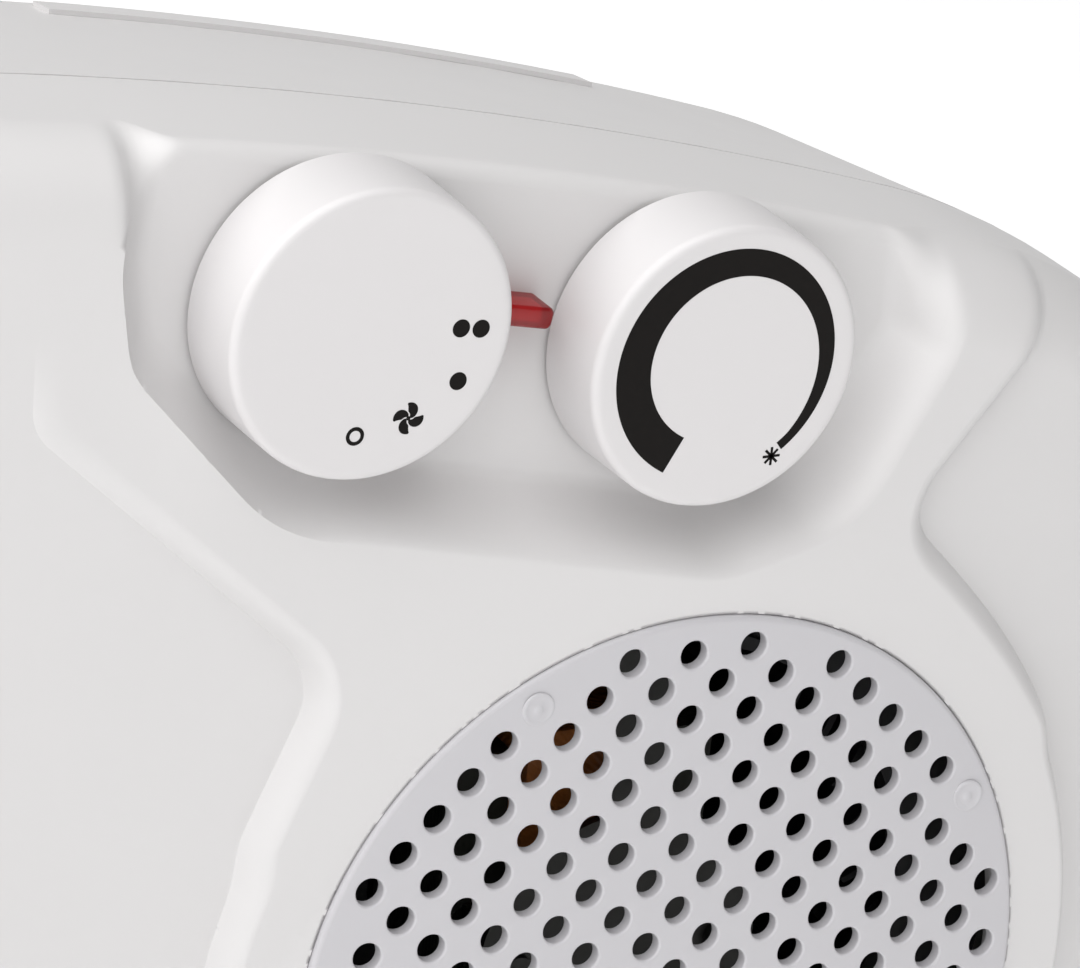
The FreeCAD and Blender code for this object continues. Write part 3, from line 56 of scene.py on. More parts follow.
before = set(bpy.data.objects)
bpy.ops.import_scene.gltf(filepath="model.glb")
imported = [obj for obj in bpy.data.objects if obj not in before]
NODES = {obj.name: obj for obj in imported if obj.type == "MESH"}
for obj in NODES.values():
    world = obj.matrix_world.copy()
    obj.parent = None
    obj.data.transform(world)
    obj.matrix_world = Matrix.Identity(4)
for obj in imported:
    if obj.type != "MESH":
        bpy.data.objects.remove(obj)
CAD_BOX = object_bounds()
MM = 0.001
RING_SEGMENTS = 720
HOLE_SEGMENTS = 28
FLOOR_SEGMENTS = 96
PIN_STEPS = ((-5, 10), (10, 5), (5, -10), (-10, -5))   # in half pitches from the fan's axis
MODE_PRINT_SHIFT = (-0.1, 1.5)
THERMOSTAT_PRINT_SHIFT = (-0.2, 0.5)
LENS_RISE = 1.9
PLATE_OVERSIZE = 0.42   # narrows the gap round the plate to a hairline
HOLE_EDGE = 0.4
PLATE_EDGE = 0.9
CAMERA_LENS = 186.67
CAMERA_SENSOR = 36
CAMERA_AT = (-0.31093, -0.73744, 0.37277)
CAMERA_RIGHT = (0.8820, -0.4628, 0.0886)
CAMERA_LOOK = (0.4575, 0.7963, -0.3957)
LIGHTS = (   # name, place, aim, size, power
    ("key", (-0.9, -0.35, 1.55), (0.05, -0.08, 0.02), (3.6, 3.2), 76),
    ("front_fill", (-0.5, -1.9, 0.15), (0.05, -0.1, 0.03), (1.6, 1.0), 2.4),
)


def millimetres(length):
    return length / MM


def middle(node):
    """Middle of a node's box, in millimetres."""
    low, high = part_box(node)
    return [millimetres(low[i] + high[i]) / 2 for i in range(3)]


FAN_X, FAN_Z = middle("intake_grille")[0], middle("intake_grille")[2]
CASE_LOW, CASE_HIGH = ([millimetres(v) for v in corner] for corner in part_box("front_cover"))


# ---------------------------------------------------------------- sizes and colours

def length(name, description, millimetre_default):
    return bpy.props.FloatProperty(name=name, description=description, unit="LENGTH",
                                   default=millimetre_default * MM, precision=5)


def angle(name, description, degrees):
    return bpy.props.FloatProperty(name=name, description=description, subtype="ANGLE",
                                   default=math.radians(degrees))


def colour(name, description, red, green, blue):
    return bpy.props.FloatVectorProperty(name=name, description=description, subtype="COLOR",
                                         default=(red, green, blue), min=0, max=1)


class HeaterCaseSizes(bpy.types.PropertyGroup):
    apex_shift: length("Apex shift", "Apex of the long arch, left of the middle", 118.2)
    crest_radius: length("Crest radius", "Arc that joins the arch and the right shoulder", 100)
    right_shoulder: length("Right shoulder", "Radius of the right shoulder", 150)
    left_shoulder: length("Left shoulder", "Radius of the left shoulder", 95)
    left_corner: length("Left corner", "Radius of the lower left corner", 40)
    arch_slope: angle("Arch slope", "Slope where the arch meets the crest", 16.8)
    shoulder_slope: angle("Shoulder slope", "Slope where the crest meets the shoulder", 24.4)
    seam: length("Seam", "Depth of the seam between the cover and the rear shell", 75)
    face_depth: length("Face depth", "Depth of the raised panel at the fan", 118.7)
    face_lean: angle("Face lean", "Lean of the raised panel", 4.57)
    crown: length("Crown", "Crown radius of the raised panel", 813)
    base_depth: length("Base depth", "Depth of the case's own face at the fan", 111.2)
    base_lean: angle("Base lean", "Lean of the case's own face", 1.5)
    base_left: length("Left crown", "Crown radius left of the fan", 12000)
    base_right: length("Right crown", "Crown radius right of the fan", 600)
    panel_radius: length("Panel radius", "Round part of the raised panel", 74)
    panel_wall: length("Panel wall", "Width of the wall round the raised panel", 4)
    waist_step: length("Waist step", "Least height of the panel over the case at its waist", 4.4)
    pocket_floor: length("Pocket floor", "Depth of the knobs' pocket", 101.6)
    rim: length("Rim", "Radius of the case's rolled edge", 13)
    pocket_rim: length("Pocket rim", "Radius of the edge over the pocket", 2.6)


class HeaterKnobSizes(bpy.types.PropertyGroup):
    diameter: length("Diameter", "Diameter of a knob", 43.2)
    edge: length("Edge", "Radius of a knob's front edge", 1.3)
    draft: length("Draft", "How much a knob narrows to the front", 0.25)
    print_lift: length("Print lift", "Thickness of the printed marks", 0.03)
    dot: length("Dot", "Diameter of a printed dot", 2.65)


class HeaterGrilleSizes(bpy.types.PropertyGroup):
    diameter: length("Diameter", "Diameter of the grille plate", 120)
    gap: length("Gap", "Gap round the plate", 0.6)
    sheet: length("Sheet", "Thickness of the plate", 2)
    proud: length("Proud", "How far the plate stands in front of the panel", 0.8)
    pitch: length("Pitch", "Pitch of the holes along a row", 10)
    hole: length("Hole", "Diameter of a hole", 4.3)
    field: length("Field", "Radius that holds the holes' centres", 56.2)


class HeaterColours(bpy.types.PropertyGroup):
    shell: colour("Shell", "White plastic of the case", 0.65, 0.638, 0.637)
    grille: colour("Grille", "White plastic of the intake grille", 0.53, 0.52, 0.54)
    knob: colour("Knob", "White plastic of the knobs", 0.66, 0.643, 0.646)
    printed: colour("Print", "Ink of the printed marks", 0.006, 0.005, 0.0045)
    lens: colour("Lens", "Red of the indicator lens", 0.30, 0.004, 0.006)
    floor: colour("Floor", "Floor and backdrop", 0.93, 0.93, 0.93)


# ---------------------------------------------------------------- shader expressions

class Value:
    """One number of a finish; arithmetic on it adds the Math nodes."""

    def __init__(self, finish, socket):
        self.finish = finish
        self.socket = socket

    def _maths(self, operation, first, second):
        return self.finish.node("ShaderNodeMath", {"operation": operation}, {0: first, 1: second})

    def __add__(self, other):
        return self._maths("ADD", self, other)

    __radd__ = __add__

    def __sub__(self, other):
        return self._maths("SUBTRACT", self, other)

    def __rsub__(self, other):
        return self._maths("SUBTRACT", other, self)

    def __mul__(self, other):
        return self._maths("MULTIPLY", self, other)

    __rmul__ = __mul__


class Finish:
    """A material under construction: one Principled shader and the nodes that feed it."""

    def __init__(self, name):
        self.material = bpy.data.materials.new(name)
        self.material.use_nodes = True
        self.tree = self.material.node_tree
        self.shader = self.tree.nodes["Principled BSDF"]

    def node(self, kind, settings=None, inputs=None, output=0):
        made = self.tree.nodes.new(kind)
        for key, value in (settings or {}).items():
            setattr(made, key, value)
        for key, value in (inputs or {}).items():
            self._feed(made.inputs[key], value)
        return Value(self, made.outputs[output])

    def _feed(self, socket, value):
        if isinstance(value, Value):
            self.tree.links.new(value.socket, socket)
        else:
            socket.default_value = value

    def set(self, **constants):
        for key, value in constants.items():
            self.shader.inputs[key.replace("_", " ")].default_value = value

    def feed(self, socket, value):
        self._feed(self.shader.inputs[socket], value)

    def place(self):
        return self.node("ShaderNodeTexCoord", output=3)

    def noise(self, scale, detail=3.0, roughness=0.5):
        return self.node("ShaderNodeTexNoise", None, {
            "Vector": self.place(), "Scale": scale, "Detail": detail, "Roughness": roughness})

    def mix(self, factor, first, second):
        return self.node("ShaderNodeMix", {"data_type": "RGBA"},
                         {0: factor, 6: first, 7: second}, output=2)

    def bump(self, height, strength, distance):
        self.feed("Normal", self.node("ShaderNodeBump", None, {
            "Strength": strength, "Distance": distance, "Height": height}))


def shade(rgb, factor=1.0):
    return (*[min(1.0, max(0.0, c * factor)) for c in rgb], 1.0)


def moulded_plastic(name, rgb, roughness=0.42, grain=900.0, depth=0.00004, mottle=0.025):
    """Moulded plastic: a faint flow mottle, dust-soft gloss and a fine spark-eroded grain."""
    finish = Finish(name)
    flow = finish.noise(14.0, 4.0, 0.55)
    finish.feed("Base Color", finish.mix(flow, shade(rgb, 1 - mottle), shade(rgb, 1 + mottle)))
    finish.feed("Roughness", roughness - 0.06 + 0.12 * finish.noise(60.0, 3.0))
    finish.bump(finish.noise(grain, 2.0, 0.6) + 0.6 * finish.noise(grain * 0.16, 2.0), 0.25, depth)
    finish.set(IOR=1.49)
    return finish.material


def metal(name, rgb, roughness, streak=(60.0, 900.0, 60.0), depth=0.00003, tarnish=0.25):
    """Bare metal: drawn streaks, patchy tarnish and uneven gloss."""
    finish = Finish(name)
    stretched = finish.node("ShaderNodeMapping", None,
                            {"Vector": finish.place(), "Scale": streak})
    lines = finish.node("ShaderNodeTexNoise", None,
                        {"Vector": stretched, "Scale": 1.0, "Detail": 4.0})
    patches = finish.noise(120.0, 5.0, 0.6)
    finish.feed("Base Color", finish.mix(patches, shade(rgb, 1 - tarnish), shade(rgb, 1.08)))
    finish.feed("Roughness", roughness + 0.2 * lines - 0.1)
    finish.bump(lines, 0.3, depth)
    finish.set(Metallic=1.0)
    return finish.material


def laminations(name):
    """Stacked steel sheets with a varnish gone grey-green at the edges."""
    finish = Finish(name)
    sheets = finish.node("ShaderNodeTexWave", {"bands_direction": "Y"},
                         {"Vector": finish.place(), "Scale": 320.0, "Distortion": 0.6})
    rust = finish.noise(260.0, 5.0, 0.65)
    varnish = finish.mix(rust, (0.035, 0.042, 0.035, 1), (0.085, 0.085, 0.07, 1))
    finish.feed("Base Color", finish.mix(0.35 * sheets, varnish, (0.045, 0.045, 0.04, 1)))
    finish.feed("Roughness", 0.38 + 0.3 * rust)
    finish.bump(sheets + 0.4 * rust, 0.5, 0.0001)
    finish.set(Metallic=0.35)
    return finish.material


def winding(name):
    """Enamelled copper wire under orange-brown tape and varnish."""
    finish = Finish(name)
    turns = finish.node("ShaderNodeTexWave", {"bands_direction": "DIAGONAL"},
                        {"Vector": finish.place(), "Scale": 420.0, "Distortion": 1.5})
    varnish = finish.noise(150.0, 4.0, 0.6)
    finish.feed("Base Color", finish.mix(varnish, (0.30, 0.085, 0.02, 1), (0.62, 0.22, 0.05, 1)))
    finish.feed("Roughness", 0.25 + 0.3 * varnish)
    finish.bump(turns, 0.6, 0.00015)
    finish.set(Coat_Weight=0.4, Coat_Roughness=0.2)
    return finish.material


def fired_ceramic(name):
    """Ceramic plates and their glued fins: pale, chalky, speckled."""
    finish = Finish(name)
    specks = finish.noise(1400.0, 2.0, 0.7)
    finish.feed("Base Color", finish.mix(specks, (0.50, 0.47, 0.42, 1), (0.74, 0.71, 0.66, 1)))
    finish.feed("Roughness", 0.7 + 0.25 * specks)
    finish.bump(specks, 0.4, 0.00006)
    return finish.material


def soft_rubber(name):
    """Dull black rubber with a bloom of dust."""
    finish = Finish(name)
    bloom = finish.noise(90.0, 5.0, 0.6)
    finish.feed("Base Color", finish.mix(bloom, (0.012, 0.012, 0.012, 1), (0.05, 0.05, 0.048, 1)))
    finish.feed("Roughness", 0.7 + 0.25 * bloom)
    finish.bump(finish.noise(1500.0), 0.4, 0.00005)
    return finish.material


def red_lens(name, rgb):
    """Clear deep red plastic with faint flow lines."""
    finish = Finish(name)
    flow = finish.noise(500.0, 3.0)
    finish.feed("Base Color", finish.mix(flow, shade(rgb, 0.85), shade(rgb, 1.2)))
    finish.feed("Roughness", 0.12 + 0.12 * flow)
    finish.bump(flow, 0.2, 0.00005)
    finish.set(Transmission_Weight=0.45, IOR=1.49)
    return finish.material


def lit_core(name):
    """The lamp's bright block behind the lens."""
    finish = Finish(name)
    cloud = finish.noise(700.0, 3.0)
    finish.feed("Base Color", finish.mix(cloud, (0.75, 0.03, 0.03, 1), (0.95, 0.10, 0.07, 1)))
    finish.feed("Roughness", 0.3 + 0.2 * cloud)
    finish.feed("Emission Color", finish.mix(cloud, (0.5, 0.01, 0.01, 1), (0.8, 0.03, 0.02, 1)))
    finish.set(Emission_Strength=0.5)
    return finish.material


def printed_ink(name, rgb):
    """Pad-printed ink, slightly uneven in gloss and density."""
    finish = Finish(name)
    density = finish.noise(1200.0, 3.0)
    finish.feed("Base Color", finish.mix(density, shade(rgb, 0.8), shade(rgb, 1.6)))
    finish.feed("Roughness", 0.6 + 0.15 * density)
    finish.bump(density, 0.15, 0.00002)
    finish.set(Specular_IOR_Level=0.12)
    return finish.material


def finishes():
    """Every finish of the heater by the name of its material slot, made once."""
    colours = bpy.context.scene.heater_colours
    makers = {
        "white_shell": lambda n: moulded_plastic(n, colours.shell),
        "white_grille": lambda n: moulded_plastic(n, colours.grille, 0.46, 1100.0),
        "white_knob": lambda n: moulded_plastic(n, colours.knob, 0.38, 1200.0, 0.00003),
        "red_lens": lambda n: red_lens(n, colours.lens),
        "lamp_glass": lambda n: red_lens(n, (0.75, 0.30, 0.12)),
        "grey_plastic": lambda n: moulded_plastic(n, (0.05, 0.05, 0.052), 0.5),
        "black_plastic": lambda n: moulded_plastic(n, (0.016, 0.016, 0.017), 0.45, mottle=0.2),
        "cream_plastic": lambda n: moulded_plastic(n, (0.62, 0.55, 0.42), 0.5),
        "steel": lambda n: metal(n, (0.12, 0.12, 0.115), 0.5),
        "lamination": laminations,
        "brass": lambda n: metal(n, (0.62, 0.44, 0.17), 0.35),
        "coil": winding,
        "aluminium": lambda n: metal(n, (0.74, 0.74, 0.75), 0.35),
        "ceramic": fired_ceramic,
        "rubber": soft_rubber,
        "white_steel": lambda n: moulded_plastic(n, (0.78, 0.78, 0.76), 0.35, 500.0),
        "lit_core": lit_core,
        "printed_ink": lambda n: printed_ink(n, colours.printed),
    }
    made = {}
    for slot, maker in makers.items():
        name = "heater_" + slot
        made[slot] = bpy.data.materials.get(name) or maker(name)
    return made


# ---------------------------------------------------------------- outlines

class Outline:
    """A closed outline of straight runs and arcs, walked counterclockwise."""

    def __init__(self, edges):
        self.edges = edges

    def distance(self, x, z):
        """Signed distance, negative inside."""
        nearest = np.full(np.shape(x), np.inf)
        signed = np.full(np.shape(x), np.inf)
        for edge in self.edges:
            if edge[0] == "line":
                apart, side = self._from_line(edge, x, z)
            else:
                apart, side = self._from_arc(edge, x, z)
            closer = apart < nearest
            nearest = np.where(closer, apart, nearest)
            signed = np.where(closer, side, signed)
        return signed

    @staticmethod
    def _from_line(edge, x, z):
        _, (ax, az), (bx, bz) = edge
        dx, dz = bx - ax, bz - az
        run = math.hypot(dx, dz)
        along = np.clip(((x - ax) * dx + (z - az) * dz) / run ** 2, 0, 1)
        apart = np.hypot(x - ax - along * dx, z - az - along * dz)
        left = dx * (z - az) - dz * (x - ax)
        return apart, np.where(left > 0, -apart, apart)

    @staticmethod
    def _from_arc(edge, x, z):
        _, (cx, cz), radius, start, sweep = edge
        turn = np.arctan2(z - cz, x - cx) - start
        turn = np.mod(turn if sweep > 0 else -turn, 2 * math.pi)
        out = np.hypot(x - cx, z - cz) - radius
        within = turn <= abs(sweep)
        return np.where(within, abs(out), np.inf), out if sweep > 0 else -out

    def walk(self, step):
        """Points and outward normals along the outline, one row each."""
        rows = []
        for edge in self.edges:
            if edge[0] == "line":
                _, (ax, az), (bx, bz) = edge
                run = math.hypot(bx - ax, bz - az)
                t = np.linspace(0, 1, max(1, round(run / step)), endpoint=False)
                normal = ((bz - az) / run, (ax - bx) / run)
                rows += [(ax + s * (bx - ax), az + s * (bz - az), *normal) for s in t]
            else:
                _, (cx, cz), radius, start, sweep = edge
                count = max(2, round(abs(sweep) * max(radius, 1) / step))
                side = 1 if sweep > 0 else -1
                for turn in start + np.linspace(0, sweep, count, endpoint=False):
                    nx, nz = math.cos(turn), math.sin(turn)
                    rows.append((cx + radius * nx, cz + radius * nz, side * nx, side * nz))
        return np.array(rows)


def rounded(points, radii):
    """The outline of a polygon with rounded corners."""
    area = sum(a[0] * b[1] - b[0] * a[1] for a, b in zip(points, points[1:] + points[:1]))
    if area < 0:
        points, radii = points[::-1], radii[::-1]
    corners = []
    for i, (here, radius) in enumerate(zip(points, radii)):
        before, after = Vector(points[i - 1]), Vector(points[(i + 1) % len(points)])
        here = Vector(here)
        came, goes = (here - before).normalized(), (after - here).normalized()
        sweep = math.atan2(came.x * goes.y - came.y * goes.x, came.dot(goes))
        reach = radius * math.tan(abs(sweep) / 2)
        start, end = here - came * reach, here + goes * reach
        side = math.copysign(1, sweep)
        centre = start + Vector((-came.y, came.x)) * radius * side
        first = math.atan2(start.y - centre.y, start.x - centre.x)
        corners.append((start, end, ("arc", tuple(centre), radius, first, sweep)))
    edges = []
    for i, (start, end, bend) in enumerate(corners):
        edges.append(bend)
        following = corners[(i + 1) % len(corners)][0]
        if (following - end).length > 1e-6:
            edges.append(("line", tuple(end), tuple(following)))
    return Outline(edges)


def case_outline(sizes):
    """The case from the front: a long arch, a crest, two shoulders and the round lower corners."""
    left, right = CASE_LOW[0], CASE_HIGH[0]
    bottom, top = CASE_LOW[2], CASE_HIGH[2]
    crest_radius, shoulder_radius, left_shoulder, left_corner, shift = (
        millimetres(v) for v in (sizes.crest_radius, sizes.right_shoulder, sizes.left_shoulder,
                                 sizes.left_corner, sizes.apex_shift))
    sin_a, cos_a = math.sin(sizes.arch_slope), math.cos(sizes.arch_slope)
    sin_s, cos_s = math.sin(sizes.shoulder_slope), math.cos(sizes.shoulder_slope)
    middle_x = (left + right) / 2
    half = (right - left) / 2
    arch_radius = (half + shift + crest_radius * (sin_a - sin_s)
                   - shoulder_radius * (1 - sin_s)) / sin_a
    apex = middle_x - shift
    arch = (apex, top - arch_radius)
    crest = (arch[0] + (arch_radius - crest_radius) * sin_a,
             arch[1] + (arch_radius - crest_radius) * cos_a)
    shoulder = (crest[0] + (crest_radius - shoulder_radius) * sin_s,
                crest[1] + (crest_radius - shoulder_radius) * cos_s)
    low_radius = shoulder[1] - bottom
    quarter = math.pi / 2
    left_top = (left + left_shoulder, top - left_shoulder)
    left_low = (left + left_corner, bottom + left_corner)
    low_right = (right - low_radius, shoulder[1])
    return Outline([
        ("arc", shoulder, shoulder_radius, 0.0, quarter - sizes.shoulder_slope),
        ("arc", crest, crest_radius, quarter - sizes.shoulder_slope,
         sizes.shoulder_slope - sizes.arch_slope),
        ("arc", arch, arch_radius, quarter - sizes.arch_slope, sizes.arch_slope),
        ("line", (apex, top), (left_top[0], top)),
        ("arc", left_top, left_shoulder, quarter, quarter),
        ("line", (left, left_top[1]), (left, left_low[1])),
        ("arc", left_low, left_corner, 2 * quarter, quarter),
        ("line", (left_low[0], bottom), (low_right[0], bottom)),
        ("arc", low_right, low_radius, -quarter, quarter),
    ])


def smooth(low, high, value):
    t = np.clip((value - low) / (high - low), 0, 1)
    return t * t * (3 - 2 * t)


class FrontFace:
    """The cover's front as a depth over every point: case face, raised panel, pocket and rim."""

    PANEL = [(-28, 180), (-28, 77), (17, 36), (8, 8), (142, 8), (112, 48), (137, 75), (137, 180)]
    PANEL_BENDS = [5, 8, 12, 3, 3, 10, 24, 5]
    POCKET = [(-9, 180), (-16, 98), (-14, 84), (8, 59), (80, 43), (102, 48), (119, 74), (113, 180)]
    POCKET_BENDS = [5, 20, 12, 24, 22, 20, 12, 5]

    def __init__(self, sizes):
        self.sizes = sizes
        self.case = case_outline(sizes)
        self.hourglass = rounded(self.PANEL, self.PANEL_BENDS)
        self.pocket = rounded(self.POCKET, self.POCKET_BENDS)

    def panel_depth(self, x, z):
        sizes = self.sizes
        return (-millimetres(sizes.face_depth) + math.tan(sizes.face_lean) * (z - FAN_Z)
                + (x - FAN_X) ** 2 / (2 * millimetres(sizes.crown)))

    def base_depth(self, x, z):
        sizes = self.sizes
        crown = np.where(x < FAN_X, millimetres(sizes.base_left), millimetres(sizes.base_right))
        return (-millimetres(sizes.base_depth) + math.tan(sizes.base_lean) * (z - FAN_Z)
                + (x - FAN_X) ** 2 / (2 * crown))

    def panel_edge(self, x, z):
        """Signed distance to the raised panel's edge, its waist flowing into the round part."""
        neck = self.hourglass.distance(x, z)
        disc = np.hypot(x - FAN_X, z - FAN_Z) - millimetres(self.sizes.panel_radius)
        blend = 9.0
        near = np.clip(0.5 + 0.5 * (disc - neck) / blend, 0, 1)
        return disc * (1 - near) + neck * near - blend * near * (1 - near)

    def rim_radius(self, x, z):
        inside = smooth(0, 9, -self.pocket.distance(x, z))
        rim, low = millimetres(self.sizes.rim), millimetres(self.sizes.pocket_rim)
        return rim + (low - rim) * inside

    def plain(self, x, z):
        """Depth before the rim is rolled."""
        base = self.base_depth(x, z)
        flare = -millimetres(self.sizes.waist_step) * (1 - smooth(34, 94, z))
        rise = np.minimum(self.panel_depth(x, z) - base, flare)
        inside = np.clip(-self.panel_edge(x, z) / millimetres(self.sizes.panel_wall), 0, 1)
        face = base + rise * (1 - (1 - inside) ** 2)
        soft = smooth(-12, 25, x)
        into = np.clip(-self.pocket.distance(x, z) / (6 + 4 * soft), 0, 1)
        slope = (1 - soft) * (1 - (1 - into) ** 2) + soft * into * into * (3 - 2 * into)
        return face + (-millimetres(self.sizes.pocket_floor) - face) * slope

    def depth(self, x, z):
        inset = np.maximum(-self.case.distance(x, z), 0)
        radius = self.rim_radius(x, z)
        short = np.maximum(radius - inset, 0)
        return self.plain(x, z) + radius - np.sqrt(np.maximum(radius ** 2 - short ** 2, 0))

    def normal(self, x, z, reach=0.01):
        """Outward normals by central differences."""
        dx = (self.depth(x + reach, z) - self.depth(x - reach, z)) / (2 * reach)
        dz = (self.depth(x, z + reach) - self.depth(x, z - reach)) / (2 * reach)
        normals = np.stack([dx, -np.ones_like(dx), dz], axis=-1)
        return normals / np.linalg.norm(normals, axis=-1, keepdims=True)


def onto_level(field, points, level, rounds=6):
    """Moves points along a distance field's slope until they lie on one level."""
    x, z = points[:, 0].copy(), points[:, 1].copy()
    for _ in range(rounds):
        value = field(x, z) - level
        gx = (field(x + 0.01, z) - field(x - 0.01, z)) / 0.02
        gz = (field(x, z + 0.01) - field(x, z - 0.01)) / 0.02
        steep = np.maximum(gx ** 2 + gz ** 2, 0.2)
        x -= value * gx / steep
        z -= value * gz / steep
    good = abs(field(x, z) - level) < 0.02
    return np.stack([x[good], z[good]], axis=1)


# ---------------------------------------------------------------- meshes

def build_mesh(name, points, faces, material, body, normals=None, sharp=None):
    """A piece from points in millimetres, riding on a body, with its finish."""
    mesh = bpy.data.meshes.new(name)
    mesh.from_pydata([tuple(float(c) * MM for c in p) for p in points], [], faces)
    mesh.validate()
    mesh.update()
    mesh.shade_smooth()
    if normals is not None:
        mesh.normals_split_custom_set([tuple(n) for n in normals])
    elif sharp:
        mesh.set_sharp_from_angle(angle=math.radians(sharp))
    mesh.materials.append(material)
    piece = bpy.data.objects.new(name, mesh)
    bpy.context.scene.collection.objects.link(piece)
    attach(piece, body)
    return piece


def corner_normals(points, faces):
    """One smooth normal for each face corner, weighted by area."""
    points = np.asarray(points, float)
    total = np.zeros_like(points)
    for face in faces:
        a, b, c = points[face[0]], points[face[1]], points[face[2]]
        area = np.cross(b - a, c - a)
        if len(face) == 4:
            d = points[face[3]]
            area = np.cross(c - a, d - b)
        for vertex in face:
            total[vertex] += area
    size = np.linalg.norm(total, axis=1, keepdims=True)
    return total / np.where(size > 0, size, 1)


def ring_faces(first, second, count):
    """Quads between two closed rows of the same count."""
    return [(first + i, first + (i + 1) % count, second + (i + 1) % count, second + i)
            for i in range(count)]


def triangulate(points, loops, keep):
    """Delaunay triangles of flat points with loops as fixed edges, where keep(x, z) is true."""
    edges = []
    for first, count in loops:
        edges += [(first + i, first + (i + 1) % count) for i in range(count)]
    verts, _, faces, _, _, _ = delaunay_2d_cdt([Vector(p) for p in points], edges, [], 0, 1e-5)
    verts = np.array([tuple(v) for v in verts])
    faces = np.array(faces)
    centre = verts[faces].mean(axis=1)
    faces = faces[keep(centre[:, 0], centre[:, 1])]
    return verts, faces


def unit_ring(segments):
    turn = np.linspace(0, 2 * math.pi, segments, endpoint=False)
    return np.stack([np.cos(turn), np.sin(turn)], axis=1)


def hex_grid(low, high, step):
    rows = []
    for j, z in enumerate(np.arange(low[1], high[1], step * 0.87)):
        x = np.arange(low[0] + (j % 2) * step / 2, high[0], step)
        rows.append(np.stack([x, np.full_like(x, z)], axis=1))
    return np.concatenate(rows)


def cover_points(face, outer, opening):
    """Flat points that carry every feature of the cover's face."""
    sizes = face.sizes
    ring = unit_ring(RING_SEGMENTS)
    fan = np.array([FAN_X, FAN_Z])
    seeds = np.concatenate([face.hourglass.walk(0.6)[:, :2],
                            fan + ring * millimetres(sizes.panel_radius)])
    rows = [outer, fan + ring * opening]
    loops = [(0, len(outer)), (len(outer), len(ring))]
    extra = [fan + ring * (opening + reach) for reach in (0.5, 1.2, 2.4, 4.5)]
    for level in (1.2, 0.5, 0.0, -0.25, -0.6, -1.1, -1.7, -2.4, -3.2, -4.0, -5.0):
        line = onto_level(face.panel_edge, seeds, level)
        extra.append(line)
    pocket = face.pocket.walk(1.0)[:, :2]
    for level in (1.0, 0, -0.6, -1.3, -2.1, -3.1, -4.2, -5.4, -6.6, -8.0, -9.4, -10.4):
        extra.append(onto_level(face.pocket.distance, pocket, level))
    extra.append(hex_grid((CASE_LOW[0], CASE_LOW[2]), (CASE_HIGH[0], CASE_HIGH[2]), 3.2))
    extra = np.concatenate(extra)
    away = -face.case.distance(extra[:, 0], extra[:, 1])
    clear = away > face.rim_radius(extra[:, 0], extra[:, 1]) + 0.35
    clear &= np.hypot(extra[:, 0] - FAN_X, extra[:, 1] - FAN_Z) > opening + 0.3
    extra = extra[clear]
    keys = np.unique(np.round(extra / 0.12).astype(int), axis=0, return_index=True)[1]
    return np.concatenate(rows + [extra[np.sort(keys)]]), loops


